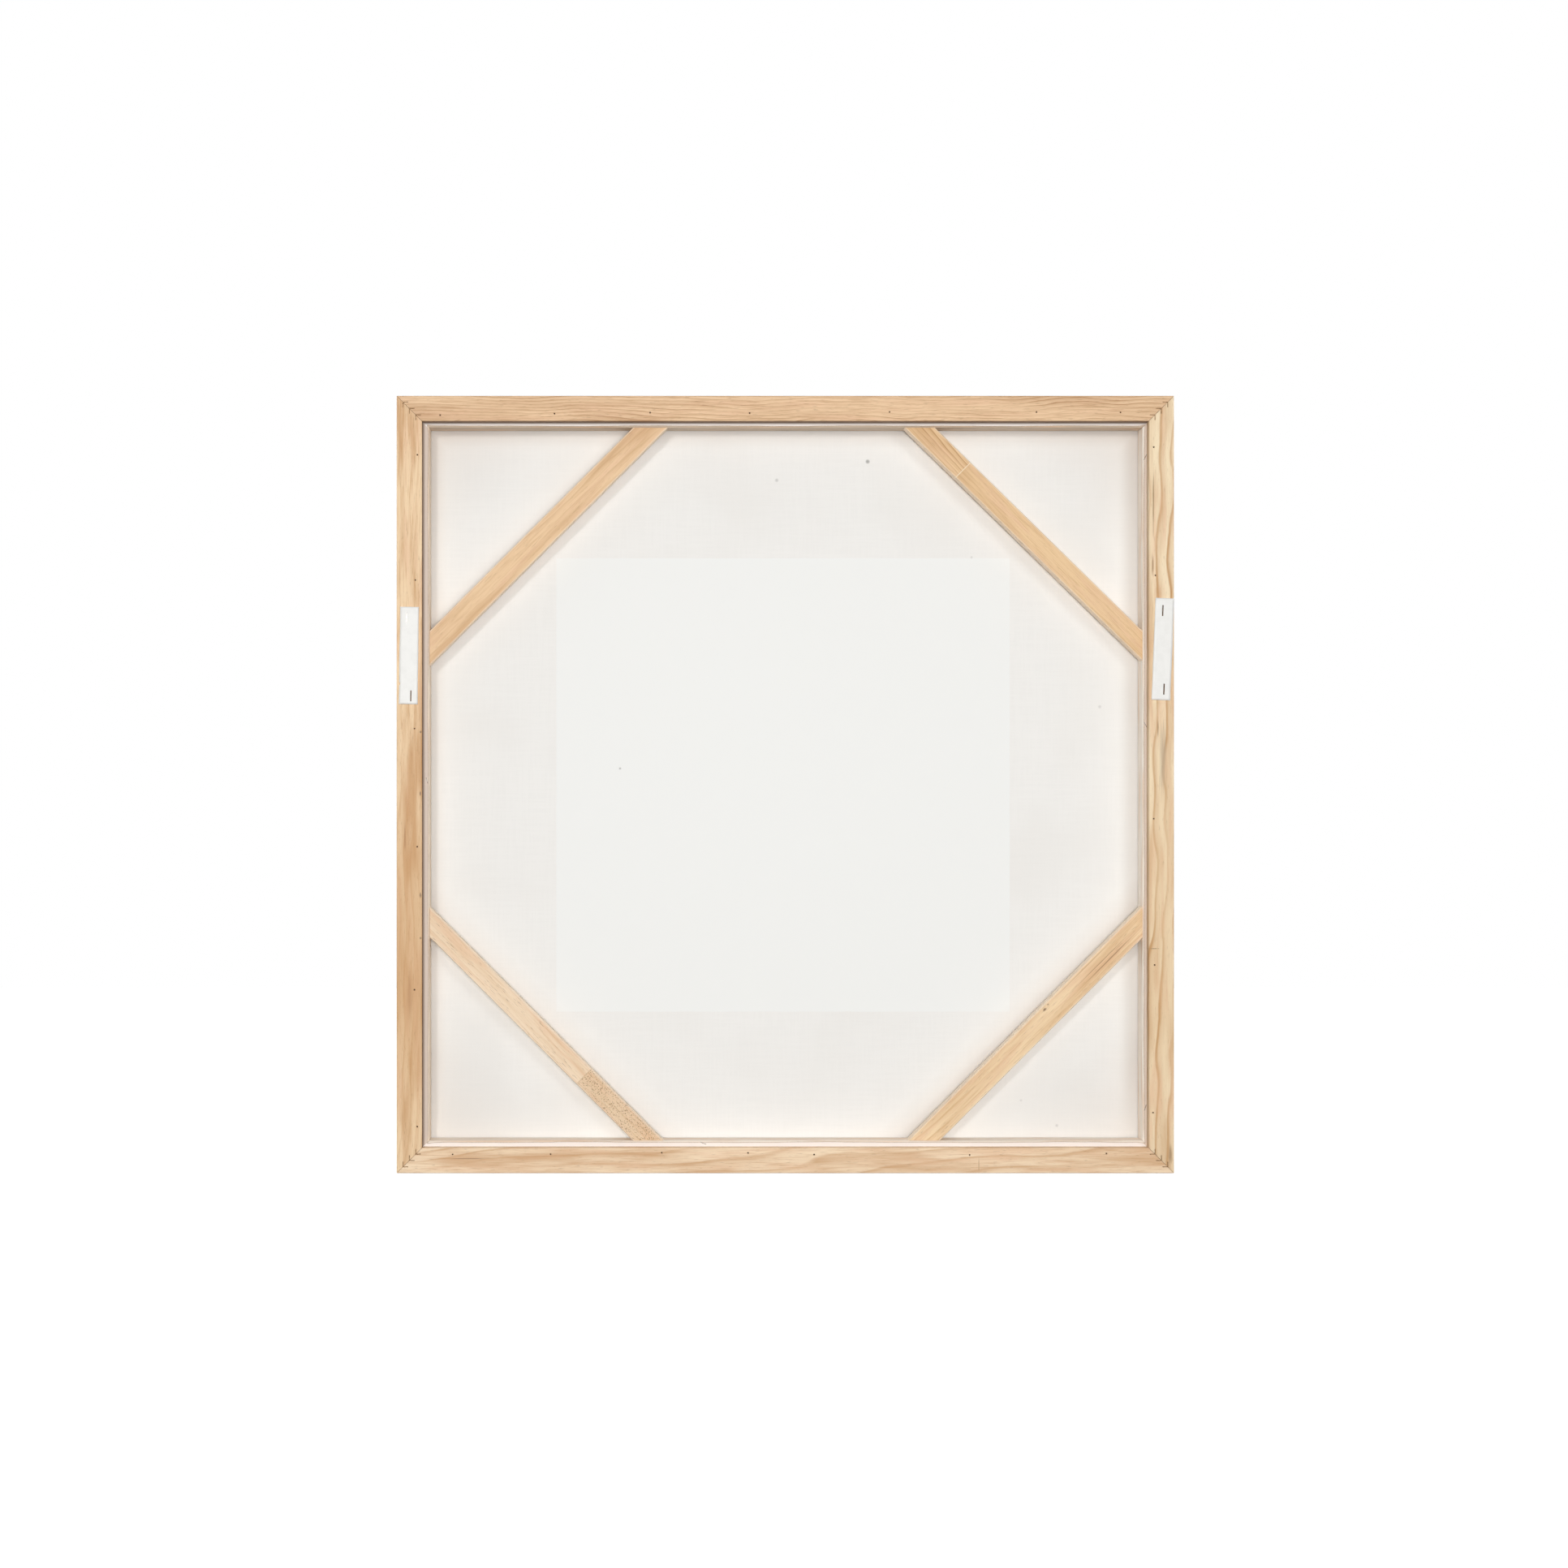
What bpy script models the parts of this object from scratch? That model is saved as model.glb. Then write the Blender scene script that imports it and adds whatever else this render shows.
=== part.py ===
"""Square canvas stretched on braced pine bars and held in a pine floater frame.

Metres, +Z up. The back of the picture faces -Y and the canvas face +Y. The origin is on the
underside of the bottom rail, at the middle of its length and of its depth.

Every section is drawn in two measures: inset, from the outer face of the frame inwards, and
depth, from the back of the frame forwards.
"""

import math
from collections import namedtuple

import bmesh
import bpy
from mathutils import Vector

# Floater frame rails: a thin wall round the canvas and a ledge behind it
FRAME_WIDTH = 0.9144
FRAME_HEIGHT = 0.9144
WALL_THICKNESS = 0.008
LEDGE_WIDTH = 0.030
LEDGE_THICKNESS = 0.010
RAIL_EASE = 0.0008
FLOAT_GAP = 0.0047
FACE_RECESS = 0.0039

# The stretched canvas stands off the middle of its frame by this much, to the right and up
CANVAS_RIGHT = 0.0016
CANVAS_UP = 0.0006

# Stretcher bars: a raised outer bead carries the canvas, and the front falls away from it
BAR_WIDTH = 0.0225
BAR_DEPTH = 0.028
BEAD_WIDTH = 0.004
BEVEL_DROP = 0.004
BAR_EASE = 0.0012

# Canvas: face, sides and a turn-in trimmed just short of the bars' inner edges
CLOTH_THICKNESS = 0.0006
CLOTH_FOLD = 0.0012
TRIM_MARGIN = 0.0012

# Corner braces: a leg is how far from the bars' inner corner the centre line meets a bar
BRACE_THICKNESS = 0.015
BRACE_EASE = 0.0008
BRACE_WIDTHS = {
    "bottom_left": 0.0254,
    "bottom_right": 0.0266,
    "top_right": 0.0254,
    "top_left": 0.029,
}
BRACE_LEGS = {
    "bottom_left": (0.2583, 0.2583),
    "bottom_right": (0.2583, 0.2583),
    "top_right": (0.2633, 0.2579),
    "top_left": (0.2609, 0.2609),
}

# V-nails: bent strips across each mitre, evenly spaced over the ledge
V_NAILS_PER_CORNER = 3
V_NAIL_LEG = 0.006
V_NAIL_THICKNESS = 0.0004
V_NAIL_COVER = 0.002
V_NAIL_RECESS = 0.0003

# Brads: where each stands, as a share of the side's length from its left or upper end, and as a share
# of the way from the bar's outer face to the ledge's inner edge
BRAD_RADIUS = 0.00075
BRAD_LENGTH = 0.022
BRAD_POINT = 0.002
BRAD_TIP_RADIUS = 0.0001
BRAD_RECESS = 0.0005
BRAD_SIDES = 8
BRAD_PLACES = {
    "bottom": (
        (0.072, 0.52), (0.198, 0.54), (0.341, 0.64), (0.452, 0.63),
        (0.537, 0.51), (0.737, 0.48), (0.913, 0.59),
    ),
    "right": ((0.066, 0.63), (0.231, 0.51), (0.544, 0.63), (0.732, 0.57), (0.922, 0.68)),
    "top": (
        (0.056, 0.56), (0.203, 0.45), (0.326, 0.38), (0.454, 0.41),
        (0.634, 0.33), (0.823, 0.34), (0.931, 0.36),
    ),
    "left": ((0.076, 0.66), (0.237, 0.51), (0.428, 0.45), (0.58, 0.65), (0.764, 0.45), (0.94, 0.65)),
}

# Hanging straps: the drop is from the frame's top to a strap's middle, the lean is to the right in
# degrees, and outward is how far the middle lies outside the middle of the ledge
STRAP_WIDTH = 0.022
STRAP_THICKNESS = 0.0008
LEFT_STRAP_LENGTH = 0.1145
LEFT_STRAP_DROP = 0.3055
LEFT_STRAP_OUTWARD = 0.0005
LEFT_STRAP_LEAN = 0.8
RIGHT_STRAP_LENGTH = 0.120
RIGHT_STRAP_DROP = 0.298
RIGHT_STRAP_OUTWARD = 0.0015
RIGHT_STRAP_LEAN = 2.26

# Strap staples: flat wire, one near each end of a strap, with the crown along it. Each stands off
# the strap's middle line, to the right where positive, and in from the strap's end.
STAPLE_CROWN = 0.0128
STAPLE_WIRE_WIDTH = 0.0012
STAPLE_WIRE_THICKNESS = 0.0007
STAPLE_BEND = 0.0003
STAPLE_OFFSETS = {
    "left": {"upper": -0.0033, "lower": 0.003},
    "right": {"upper": -0.002, "lower": 0.003},
}
STAPLE_END_DISTANCES = {
    "left": {"upper": 0.0132, "lower": 0.0098},
    "right": {"upper": 0.0148, "lower": 0.013},
}
STAPLE_COVER = 0.002

# Gap between pieces that touch, and how far a cutter reaches past what it cuts
CLEARANCE = 0.0003
OVERSHOOT = 0.002

# Depths of the layers, from the back of the frame forwards
TURN_IN_BACK = LEDGE_THICKNESS + CLEARANCE
TURN_IN_FRONT = TURN_IN_BACK + CLOTH_THICKNESS
BAR_BACK = TURN_IN_FRONT + CLEARANCE
BAR_FRONT = BAR_BACK + BAR_DEPTH
FACE_BACK = BAR_FRONT + CLEARANCE
FACE_FRONT = FACE_BACK + CLOTH_THICKNESS
FRAME_DEPTH = FACE_FRONT + FACE_RECESS
BACK_Y = -FRAME_DEPTH / 2

# Insets of the layers, from the frame's outer face inwards
CLOTH_OUTER = WALL_THICKNESS + FLOAT_GAP
CLOTH_INNER = CLOTH_OUTER + CLOTH_THICKNESS
BAR_OUTER = CLOTH_INNER + CLEARANCE
BAR_INNER = BAR_OUTER + BAR_WIDTH
TURN_IN_EDGE = BAR_INNER - TRIM_MARGIN
PINNED_WIDTH = LEDGE_WIDTH - BAR_OUTER
MITRE_SETBACK = CLEARANCE / math.sqrt(2)

Strap = namedtuple("Strap", "length drop outward lean")
STRAPS = {
    "left": Strap(LEFT_STRAP_LENGTH, LEFT_STRAP_DROP, LEFT_STRAP_OUTWARD, LEFT_STRAP_LEAN),
    "right": Strap(RIGHT_STRAP_LENGTH, RIGHT_STRAP_DROP, RIGHT_STRAP_OUTWARD, RIGHT_STRAP_LEAN),
}

# A side is drawn along X, with its inset along +Z, then turned about Y onto its edge of the frame.
# reading_sign turns a share read from the left or from above into the side's own X.
Side = namedtuple("Side", "middle turn span reading_sign")
SIDES = {
    "bottom": Side((0, 0, 0), 0, FRAME_WIDTH, 1),
    "right": Side((FRAME_WIDTH / 2, 0, FRAME_HEIGHT / 2), -90, FRAME_HEIGHT, -1),
    "top": Side((0, 0, FRAME_HEIGHT), 180, FRAME_WIDTH, -1),
    "left": Side((-FRAME_WIDTH / 2, 0, FRAME_HEIGHT / 2), 90, FRAME_HEIGHT, 1),
}

# A corner is drawn with its two sides along +X and +Z, then turned about Y into place
Corner = namedtuple("Corner", "point turn sides")
CORNERS = {
    "bottom_left": Corner((-FRAME_WIDTH / 2, 0, 0), 0, ("bottom", "left")),
    "bottom_right": Corner((FRAME_WIDTH / 2, 0, 0), -90, ("right", "bottom")),
    "top_right": Corner((FRAME_WIDTH / 2, 0, FRAME_HEIGHT), 180, ("top", "right")),
    "top_left": Corner((-FRAME_WIDTH / 2, 0, FRAME_HEIGHT), 90, ("left", "top")),
}


def clear_scene():
    for obj in list(bpy.data.objects):
        bpy.data.objects.remove(obj, do_unlink=True)


def make_material(name, colour, roughness, metallic=0.0):
    material = bpy.data.materials.new(name)
    material.use_nodes = True
    shader = material.node_tree.nodes["Principled BSDF"]
    shader.inputs["Base Color"].default_value = (*colour, 1.0)
    shader.inputs["Roughness"].default_value = roughness
    shader.inputs["Metallic"].default_value = metallic
    return material


def make_materials():
    return {
        "rail": make_material("pine_rail", (0.73, 0.49, 0.30), 0.55),
        "bar": make_material("pine_bar", (0.72, 0.50, 0.32), 0.6),
        "brace": make_material("pine_brace", (0.78, 0.54, 0.34), 0.6),
        "canvas": make_material("primed_cotton", (0.87, 0.84, 0.80), 0.85),
        "strap": make_material("white_strap", (0.90, 0.90, 0.88), 0.5),
        "steel": make_material("steel_wire", (0.35, 0.33, 0.31), 0.4, 1.0),
    }


def add_object(name, bm, parent, location=(0, 0, 0), turn=0, material=None):
    """Turns a bmesh into an object, turned about Y by degrees and moved into place."""
    bmesh.ops.recalc_face_normals(bm, faces=bm.faces)
    mesh = bpy.data.meshes.new(name)
    bm.to_mesh(mesh)
    bm.free()
    obj = bpy.data.objects.new(name, mesh)
    bpy.context.scene.collection.objects.link(obj)
    obj.location = location
    obj.rotation_euler = (0, math.radians(turn), 0)
    obj.parent = parent
    if material:
        mesh.materials.append(material)
    return obj


def add_cutter(name, bm, parent, location, turn):
    cutter = add_object(name, bm, parent, location, turn)
    cutter.hide_render = True
    cutter.display_type = "WIRE"
    return cutter


def cut(obj, cutter):
    modifier = obj.modifiers.new(cutter.name, "BOOLEAN")
    modifier.operation = "DIFFERENCE"
    modifier.solver = "EXACT"
    modifier.object = cutter


def join_rings(bm, rings):
    """Closes a skin over rings of points of equal number and caps the first and last."""
    loops = [[bm.verts.new(point) for point in ring] for ring in rings]
    count = len(loops[0])
    for near, far in zip(loops, loops[1:]):
        for i in range(count):
            j = (i + 1) % count
            bm.faces.new((near[i], near[j], far[j], far[i]))
    bm.faces.new(loops[0])
    bm.faces.new(list(reversed(loops[-1])))


def add_prism(bm, outline, low, high):
    """Closes a prism over an outline in X and Z, between two depths."""
    rings = [[(x, BACK_Y + depth, z) for x, z in outline] for depth in (low, high)]
    join_rings(bm, rings)


def rectangle(x_low, x_high, z_low, z_high):
    return [(x_low, z_low), (x_high, z_low), (x_high, z_high), (x_low, z_high)]


def eased_rectangle(low, high, back, front, ease):
    """Section of a planed batten: a rectangle with its four corners taken off."""
    return [
        (low + ease, back), (high - ease, back), (high, back + ease), (high, front - ease),
        (high - ease, front), (low + ease, front), (low, front - ease), (low, back + ease),
    ]


def mitred_member(section, span):
    """A batten along X whose two ends are cut at 45 degrees through the frame's corners."""
    rings = []
    for end in (-1, 1):
        ring = []
        for inset, depth in section:
            reach = span / 2 - inset - MITRE_SETBACK
            ring.append((end * reach, BACK_Y + depth, inset))
        rings.append(ring)
    bm = bmesh.new()
    join_rings(bm, rings)
    return bm


def rail_section():
    """The L of the floater frame, with its outer edges eased."""
    return [
        (RAIL_EASE, 0),
        (LEDGE_WIDTH - RAIL_EASE, 0),
        (LEDGE_WIDTH, RAIL_EASE),
        (LEDGE_WIDTH, LEDGE_THICKNESS),
        (WALL_THICKNESS, LEDGE_THICKNESS),
        (WALL_THICKNESS, FRAME_DEPTH - RAIL_EASE),
        (WALL_THICKNESS - RAIL_EASE, FRAME_DEPTH),
        (RAIL_EASE, FRAME_DEPTH),
        (0, FRAME_DEPTH - RAIL_EASE),
        (0, RAIL_EASE),
    ]


def bar_section():
    """The stretcher bar: flat back, outer bead, and a front that slopes away from the canvas."""
    return [
        (BAR_OUTER + BAR_EASE, BAR_BACK),
        (BAR_INNER - BAR_EASE, BAR_BACK),
        (BAR_INNER, BAR_BACK + BAR_EASE),
        (BAR_INNER, BAR_FRONT - BEVEL_DROP),
        (BAR_OUTER + BEAD_WIDTH, BAR_FRONT),
        (BAR_OUTER + BAR_EASE, BAR_FRONT),
        (BAR_OUTER, BAR_FRONT - BAR_EASE),
        (BAR_OUTER, BAR_BACK + BAR_EASE),
    ]


def canvas_skin():
    """The canvas as one closed sheet: its outer skin, the trimmed edge and its inner skin."""
    inner_fold = CLOTH_FOLD / 2
    skin = [
        (CLOTH_OUTER + CLOTH_FOLD, FACE_FRONT),
        (CLOTH_OUTER, FACE_FRONT - CLOTH_FOLD),
        (CLOTH_OUTER, TURN_IN_BACK + CLOTH_FOLD),
        (CLOTH_OUTER + CLOTH_FOLD, TURN_IN_BACK),
        (TURN_IN_EDGE, TURN_IN_BACK),
        (TURN_IN_EDGE, TURN_IN_FRONT),
        (CLOTH_INNER + inner_fold, TURN_IN_FRONT),
        (CLOTH_INNER, TURN_IN_FRONT + inner_fold),
        (CLOTH_INNER, FACE_BACK - inner_fold),
        (CLOTH_INNER + inner_fold, FACE_BACK),
    ]
    rings = []
    for inset, depth in skin:
        half_width = FRAME_WIDTH / 2 - inset
        plan = rectangle(-half_width, half_width, inset, FRAME_HEIGHT - inset)
        rings.append([(x, BACK_Y + depth, z) for x, z in plan])
    bm = bmesh.new()
    join_rings(bm, rings)
    return bm


def corner_brace(width, legs):
    """A batten across a corner, cut at both ends to lie along the bars' inner faces."""
    start = Vector((BAR_INNER + legs[0], BAR_INNER))
    end = Vector((BAR_INNER, BAR_INNER + legs[1]))
    along = (end - start).normalized()
    across = along.orthogonal()
    seat = BAR_INNER + CLEARANCE
    half = width / 2
    rings = [[], []]
    for offset, depth in eased_rectangle(-half, half, BAR_BACK, BAR_BACK + BRACE_THICKNESS, BRACE_EASE):
        base = start + across * offset
        first = base + along * ((seat - base.y) / along.y)
        last = base + along * ((seat - base.x) / along.x)
        rings[0].append((first.x, BACK_Y + depth, first.y))
        rings[1].append((last.x, BACK_Y + depth, last.y))
    bm = bmesh.new()
    join_rings(bm, rings)
    return bm


def v_nail_outline(place, margin):
    """Plan of a V-nail whose bend lies on the mitre, widened all round by a margin."""
    low = place - V_NAIL_THICKNESS / 2 - margin
    high = place + V_NAIL_THICKNESS / 2 + margin
    tip = low + margin + V_NAIL_LEG + margin
    return [(low, low), (tip, low), (tip, high), (high, high), (high, tip), (low, tip)]


def v_nail_places():
    pitch = LEDGE_WIDTH / (V_NAILS_PER_CORNER + 1)
    return [pitch * (i + 1) for i in range(V_NAILS_PER_CORNER)]


def pin_rings(margin, top):
    """Rings of a brad along the depth, drawn to a blunt point and widened all round by a margin."""
    radius = BRAD_RADIUS + margin
    point = BRAD_RECESS + BRAD_LENGTH
    stations = ((radius, top), (radius, point - BRAD_POINT), (BRAD_TIP_RADIUS + margin, point + margin))
    rings = []
    for ring_radius, depth in stations:
        ring = []
        for i in range(BRAD_SIDES):
            angle = math.tau * i / BRAD_SIDES
            ring.append((ring_radius * math.cos(angle), BACK_Y + depth, ring_radius * math.sin(angle)))
        rings.append(ring)
    return rings


def brad_spots(side_name):
    """Where a side's brads stand, along the side and inwards."""
    side = SIDES[side_name]
    spots = []
    for share_along, share_across in BRAD_PLACES[side_name]:
        along = side.reading_sign * (share_along - 0.5) * side.span
        spots.append((along, BAR_OUTER + share_across * PINNED_WIDTH))
    return spots


def moved(rings, x, z):
    return [[(px + x, py, pz + z) for px, py, pz in ring] for ring in rings]


def add_sides(picture, stretched, materials):
    """Rails and stretcher bars, with the brads that pin each bar to its rail."""
    rails = {}
    cutters = []
    hole_rings = pin_rings(CLEARANCE, -OVERSHOOT)
    brad_rings = pin_rings(0, BRAD_RECESS)
    for name, side in SIDES.items():
        place = (picture, side.middle, side.turn)
        rail_mesh = mitred_member(rail_section(), side.span)
        bar_mesh = mitred_member(bar_section(), side.span)
        rail = add_object("frame_rail_" + name, rail_mesh, *place, materials["rail"])
        bar_place = (stretched, side.middle, side.turn)
        bar = add_object("stretcher_bar_" + name, bar_mesh, *bar_place, materials["bar"])
        holes = bmesh.new()
        for number, (along, inset) in enumerate(brad_spots(name), start=1):
            join_rings(holes, moved(hole_rings, along, inset))
            brad = bmesh.new()
            join_rings(brad, moved(brad_rings, along, inset))
            add_object(f"brad_{name}_{number}", brad, *place, materials["steel"])
        cutter = add_cutter("brad_holes_" + name, holes, *place)
        cut(rail, cutter)
        cut(bar, cutter)
        rails[name] = rail
        cutters.append(cutter)
    return rails, cutters


def add_canvas(stretched, materials, brad_cutters):
    canvas = add_object("canvas", canvas_skin(), stretched, material=materials["canvas"])
    for cutter in brad_cutters:
        cut(canvas, cutter)


def add_corners(picture, stretched, materials, rails):
    """Braces, and the V-nails that draw each mitre of the frame together."""
    nail_tip = LEDGE_THICKNESS - V_NAIL_COVER
    for name, corner in CORNERS.items():
        place = (picture, corner.point, corner.turn)
        brace = corner_brace(BRACE_WIDTHS[name], BRACE_LEGS[name])
        add_object("corner_brace_" + name, brace, stretched, corner.point, corner.turn, materials["brace"])
        slots = bmesh.new()
        for number, spot in enumerate(v_nail_places(), start=1):
            add_prism(slots, v_nail_outline(spot, CLEARANCE), -OVERSHOOT, nail_tip + CLEARANCE)
            nail = bmesh.new()
            add_prism(nail, v_nail_outline(spot, 0), V_NAIL_RECESS, nail_tip)
            add_object(f"v_nail_{name}_{number}", nail, *place, materials["steel"])
        cutter = add_cutter("v_nail_slots_" + name, slots, *place)
        for side_name in corner.sides:
            cut(rails[side_name], cutter)


def staple_outline(crown_back, leg_tip):
    """A staple seen from its side, along the strap and in depth, with bent shoulders."""
    half = STAPLE_CROWN / 2
    inner = half - STAPLE_WIRE_THICKNESS
    crown_front = crown_back + STAPLE_WIRE_THICKNESS
    return [
        (-half, leg_tip), (-half, crown_back + STAPLE_BEND), (-half + STAPLE_BEND, crown_back),
        (half - STAPLE_BEND, crown_back), (half, crown_back + STAPLE_BEND), (half, leg_tip),
        (inner, leg_tip), (inner, crown_front), (-inner, crown_front), (-inner, leg_tip),
    ]


def staple_mesh(offset, middle, crown_back, leg_tip):
    outline = staple_outline(crown_back, leg_tip)
    half = STAPLE_WIRE_WIDTH / 2
    edges = (offset - half, offset + half)
    rings = [[(x, BACK_Y + depth, middle + z) for z, depth in outline] for x in edges]
    bm = bmesh.new()
    join_rings(bm, rings)
    return bm


def add_straps(picture, materials, rails):
    """Hanging straps laid on the side rails, each held by a staple near either end."""
    strap_front = -CLEARANCE
    strap_back = strap_front - STRAP_THICKNESS
    crown_back = strap_back - CLEARANCE - STAPLE_WIRE_THICKNESS
    leg_tip = LEDGE_THICKNESS - STAPLE_COVER
    half_hole = STAPLE_WIRE_WIDTH / 2 + CLEARANCE
    leg_outer = STAPLE_CROWN / 2 + CLEARANCE
    leg_inner = STAPLE_CROWN / 2 - STAPLE_WIRE_THICKNESS - CLEARANCE
    for name, strap in STRAPS.items():
        side = SIDES[name]
        outward = math.copysign(1, side.middle[0])
        x = side.middle[0] - outward * (LEDGE_WIDTH / 2 - strap.outward)
        place = (picture, (x, 0, FRAME_HEIGHT - strap.drop), strap.lean)
        band = bmesh.new()
        plan = rectangle(-STRAP_WIDTH / 2, STRAP_WIDTH / 2, -strap.length / 2, strap.length / 2)
        add_prism(band, plan, strap_back, strap_front)
        band_object = add_object("hanging_strap_" + name, band, *place, materials["strap"])
        holes = bmesh.new()
        for end, sign in (("upper", 1), ("lower", -1)):
            offset = STAPLE_OFFSETS[name][end]
            middle = sign * (strap.length / 2 - STAPLE_END_DISTANCES[name][end])
            staple = staple_mesh(offset, middle, crown_back, leg_tip)
            add_object(f"strap_staple_{name}_{end}", staple, *place, materials["steel"])
            for low, high in ((-leg_outer, -leg_inner), (leg_inner, leg_outer)):
                hole = rectangle(offset - half_hole, offset + half_hole, middle + low, middle + high)
                add_prism(holes, hole, strap_back - OVERSHOOT, leg_tip + CLEARANCE)
        cutter = add_cutter("staple_holes_" + name, holes, *place)
        cut(band_object, cutter)
        cut(rails[name], cutter)


def add_group(name, parent=None, location=(0, 0, 0)):
    group = bpy.data.objects.new(name, None)
    bpy.context.scene.collection.objects.link(group)
    group.location = location
    group.parent = parent
    return group


def main():
    clear_scene()
    materials = make_materials()
    picture = add_group("picture")
    stretched = add_group("stretched", picture, (CANVAS_RIGHT, 0, CANVAS_UP))
    rails, brad_cutters = add_sides(picture, stretched, materials)
    add_canvas(stretched, materials, brad_cutters)
    add_corners(picture, stretched, materials, rails)
    add_straps(picture, materials, rails)


main()
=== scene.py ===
import math
import random
from functools import partial
from typing import NamedTuple

import bmesh
import bpy
from bpy.props import FloatProperty, FloatVectorProperty, IntProperty, PointerProperty
from mathutils import Matrix, Vector


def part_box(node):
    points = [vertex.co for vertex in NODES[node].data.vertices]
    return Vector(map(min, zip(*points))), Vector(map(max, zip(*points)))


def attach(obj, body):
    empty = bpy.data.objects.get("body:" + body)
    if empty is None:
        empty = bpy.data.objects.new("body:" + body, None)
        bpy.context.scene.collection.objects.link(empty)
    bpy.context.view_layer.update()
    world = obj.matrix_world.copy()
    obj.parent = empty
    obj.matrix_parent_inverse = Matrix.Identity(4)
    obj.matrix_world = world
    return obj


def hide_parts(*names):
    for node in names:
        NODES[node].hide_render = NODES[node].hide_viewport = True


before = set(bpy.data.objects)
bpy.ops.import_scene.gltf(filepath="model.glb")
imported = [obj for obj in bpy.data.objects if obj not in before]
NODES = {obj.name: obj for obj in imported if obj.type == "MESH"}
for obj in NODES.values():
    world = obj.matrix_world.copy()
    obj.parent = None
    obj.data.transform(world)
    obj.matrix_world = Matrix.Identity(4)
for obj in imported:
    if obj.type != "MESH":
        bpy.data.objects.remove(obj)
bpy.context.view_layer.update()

bl_info = {
    "name": "Floater-framed canvas",
    "version": (1, 0, 0),
    "blender": (4, 5, 0),
    "location": "3D View > Sidebar > Canvas",
    "description": "Dresses the packed parts of a stretched canvas in a pine floater frame",
    "category": "Object",
}

MM = 0.001
SIDES = ("bottom", "right", "top", "left")
CORNERS = ("bottom_left", "bottom_right", "top_right", "top_left")

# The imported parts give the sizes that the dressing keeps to
FRAME_LOW, FRAME_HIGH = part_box("frame_rail_bottom")
FRAME_HALF = FRAME_HIGH.x
FRAME_BACK = FRAME_LOW.y
MIDDLE = Vector((0.0, 0.0, FRAME_HALF))
CLOTH_LOW, CLOTH_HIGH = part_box("canvas")
CLOTH_HALF = (CLOTH_HIGH.x - CLOTH_LOW.x) / 2
CLOTH_MIDDLE = Vector((CLOTH_LOW.x + CLOTH_HALF, 0.0, CLOTH_LOW.z + CLOTH_HALF))
BAR_HALF = MIDDLE.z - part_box("stretcher_bar_bottom")[1].z
LEDGE_WIDTH = 30 * MM
LEDGE_HALF = FRAME_HALF - LEDGE_WIDTH
EASED = "SMOOTHSTEP"
WHITE = (1.0, 1.0, 1.0, 1.0)
INWARD = Vector((0.0, 1.0, 0.0))


def linear(code):
    """Turns an sRGB hex colour into linear red, green, blue and alpha."""
    shares = [int(code[place:place + 2], 16) / 255 for place in (0, 2, 4)]
    lifted = [share / 12.92 if share <= 0.04045 else ((share + 0.055) / 1.055) ** 2.4 for share in shares]
    return (*lifted, 1.0)


def add_node(tree, kind, *values, inputs=None, stops=(), **settings):
    """Adds a shader node. Values fill its sockets in order, inputs by name: numbers, nodes or sockets."""
    node = tree.nodes.new("ShaderNode" + kind)
    for key, value in settings.items():
        setattr(node, key, value)
    for number, (position, grey) in enumerate(stops):
        elements = node.color_ramp.elements
        element = elements[number] if number < 2 else elements.new(position)
        element.position = position
        element.color = (grey, grey, grey, 1.0)
    sockets = [socket for socket in node.inputs if socket.enabled]
    filled = list(zip(sockets, values))
    for key, value in (inputs or {}).items():
        filled.append((next(socket for socket in sockets if socket.name == key), value))
    for socket, value in filled:
        if isinstance(value, bpy.types.Node):
            value = next(output for output in value.outputs if output.enabled)
        if isinstance(value, bpy.types.NodeSocket):
            tree.links.new(value, socket)
        else:
            socket.default_value = value
    return node


def new_material(name):
    """An empty material, and the function that adds nodes to it."""
    material = bpy.data.materials.new(name)
    material.use_nodes = True
    material.node_tree.nodes.clear()
    return material, partial(add_node, material.node_tree)


def dress(node_names, material):
    """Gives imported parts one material."""
    for name in node_names:
        mesh = NODES[name].data
        mesh.materials.clear()
        mesh.materials.append(material)


def add_piece(name, mesh, material):
    """Links a new mesh as a piece that rides on the one body."""
    mesh.materials.append(material)
    piece = bpy.data.objects.new(name, mesh)
    bpy.context.scene.collection.objects.link(piece)
    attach(piece, "root")
    return piece


class Joint(NamedTuple):
    """Where a board is glued up from two lengths: its line, and the rings and pits of the length beyond."""
    place: tuple
    colour: str
    strength: float
    rings: float
    pits: float


class Mark(NamedTuple):
    """A knot, stain or crack: its middle, half its length along and across the grain, and its tone."""
    place: tuple
    along: float
    across: float
    colour: str
    strength: float


class Board(NamedTuple):
    """How one pine board was cut: the run of its grain, its rings, flecks, clouds, fibres and marks."""
    grain: float
    ring: float
    wander: float
    reach: float
    rings: float
    climb: float
    flecks: float
    clouds: float
    fibres: float
    shift: tuple
    # The sawn setting is painted shade on the inner edge of a rail's ledge: its strength and how far it runs
    # onto the back
    sawn: tuple = ()
    joint: Joint = None
    marks: tuple = ()


# Which way a board's grain runs, as a turn about the depth axis
LEVEL = 0.0
UPRIGHT = math.pi / 2
RISING = math.pi / 4
FALLING = -math.pi / 4

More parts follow.
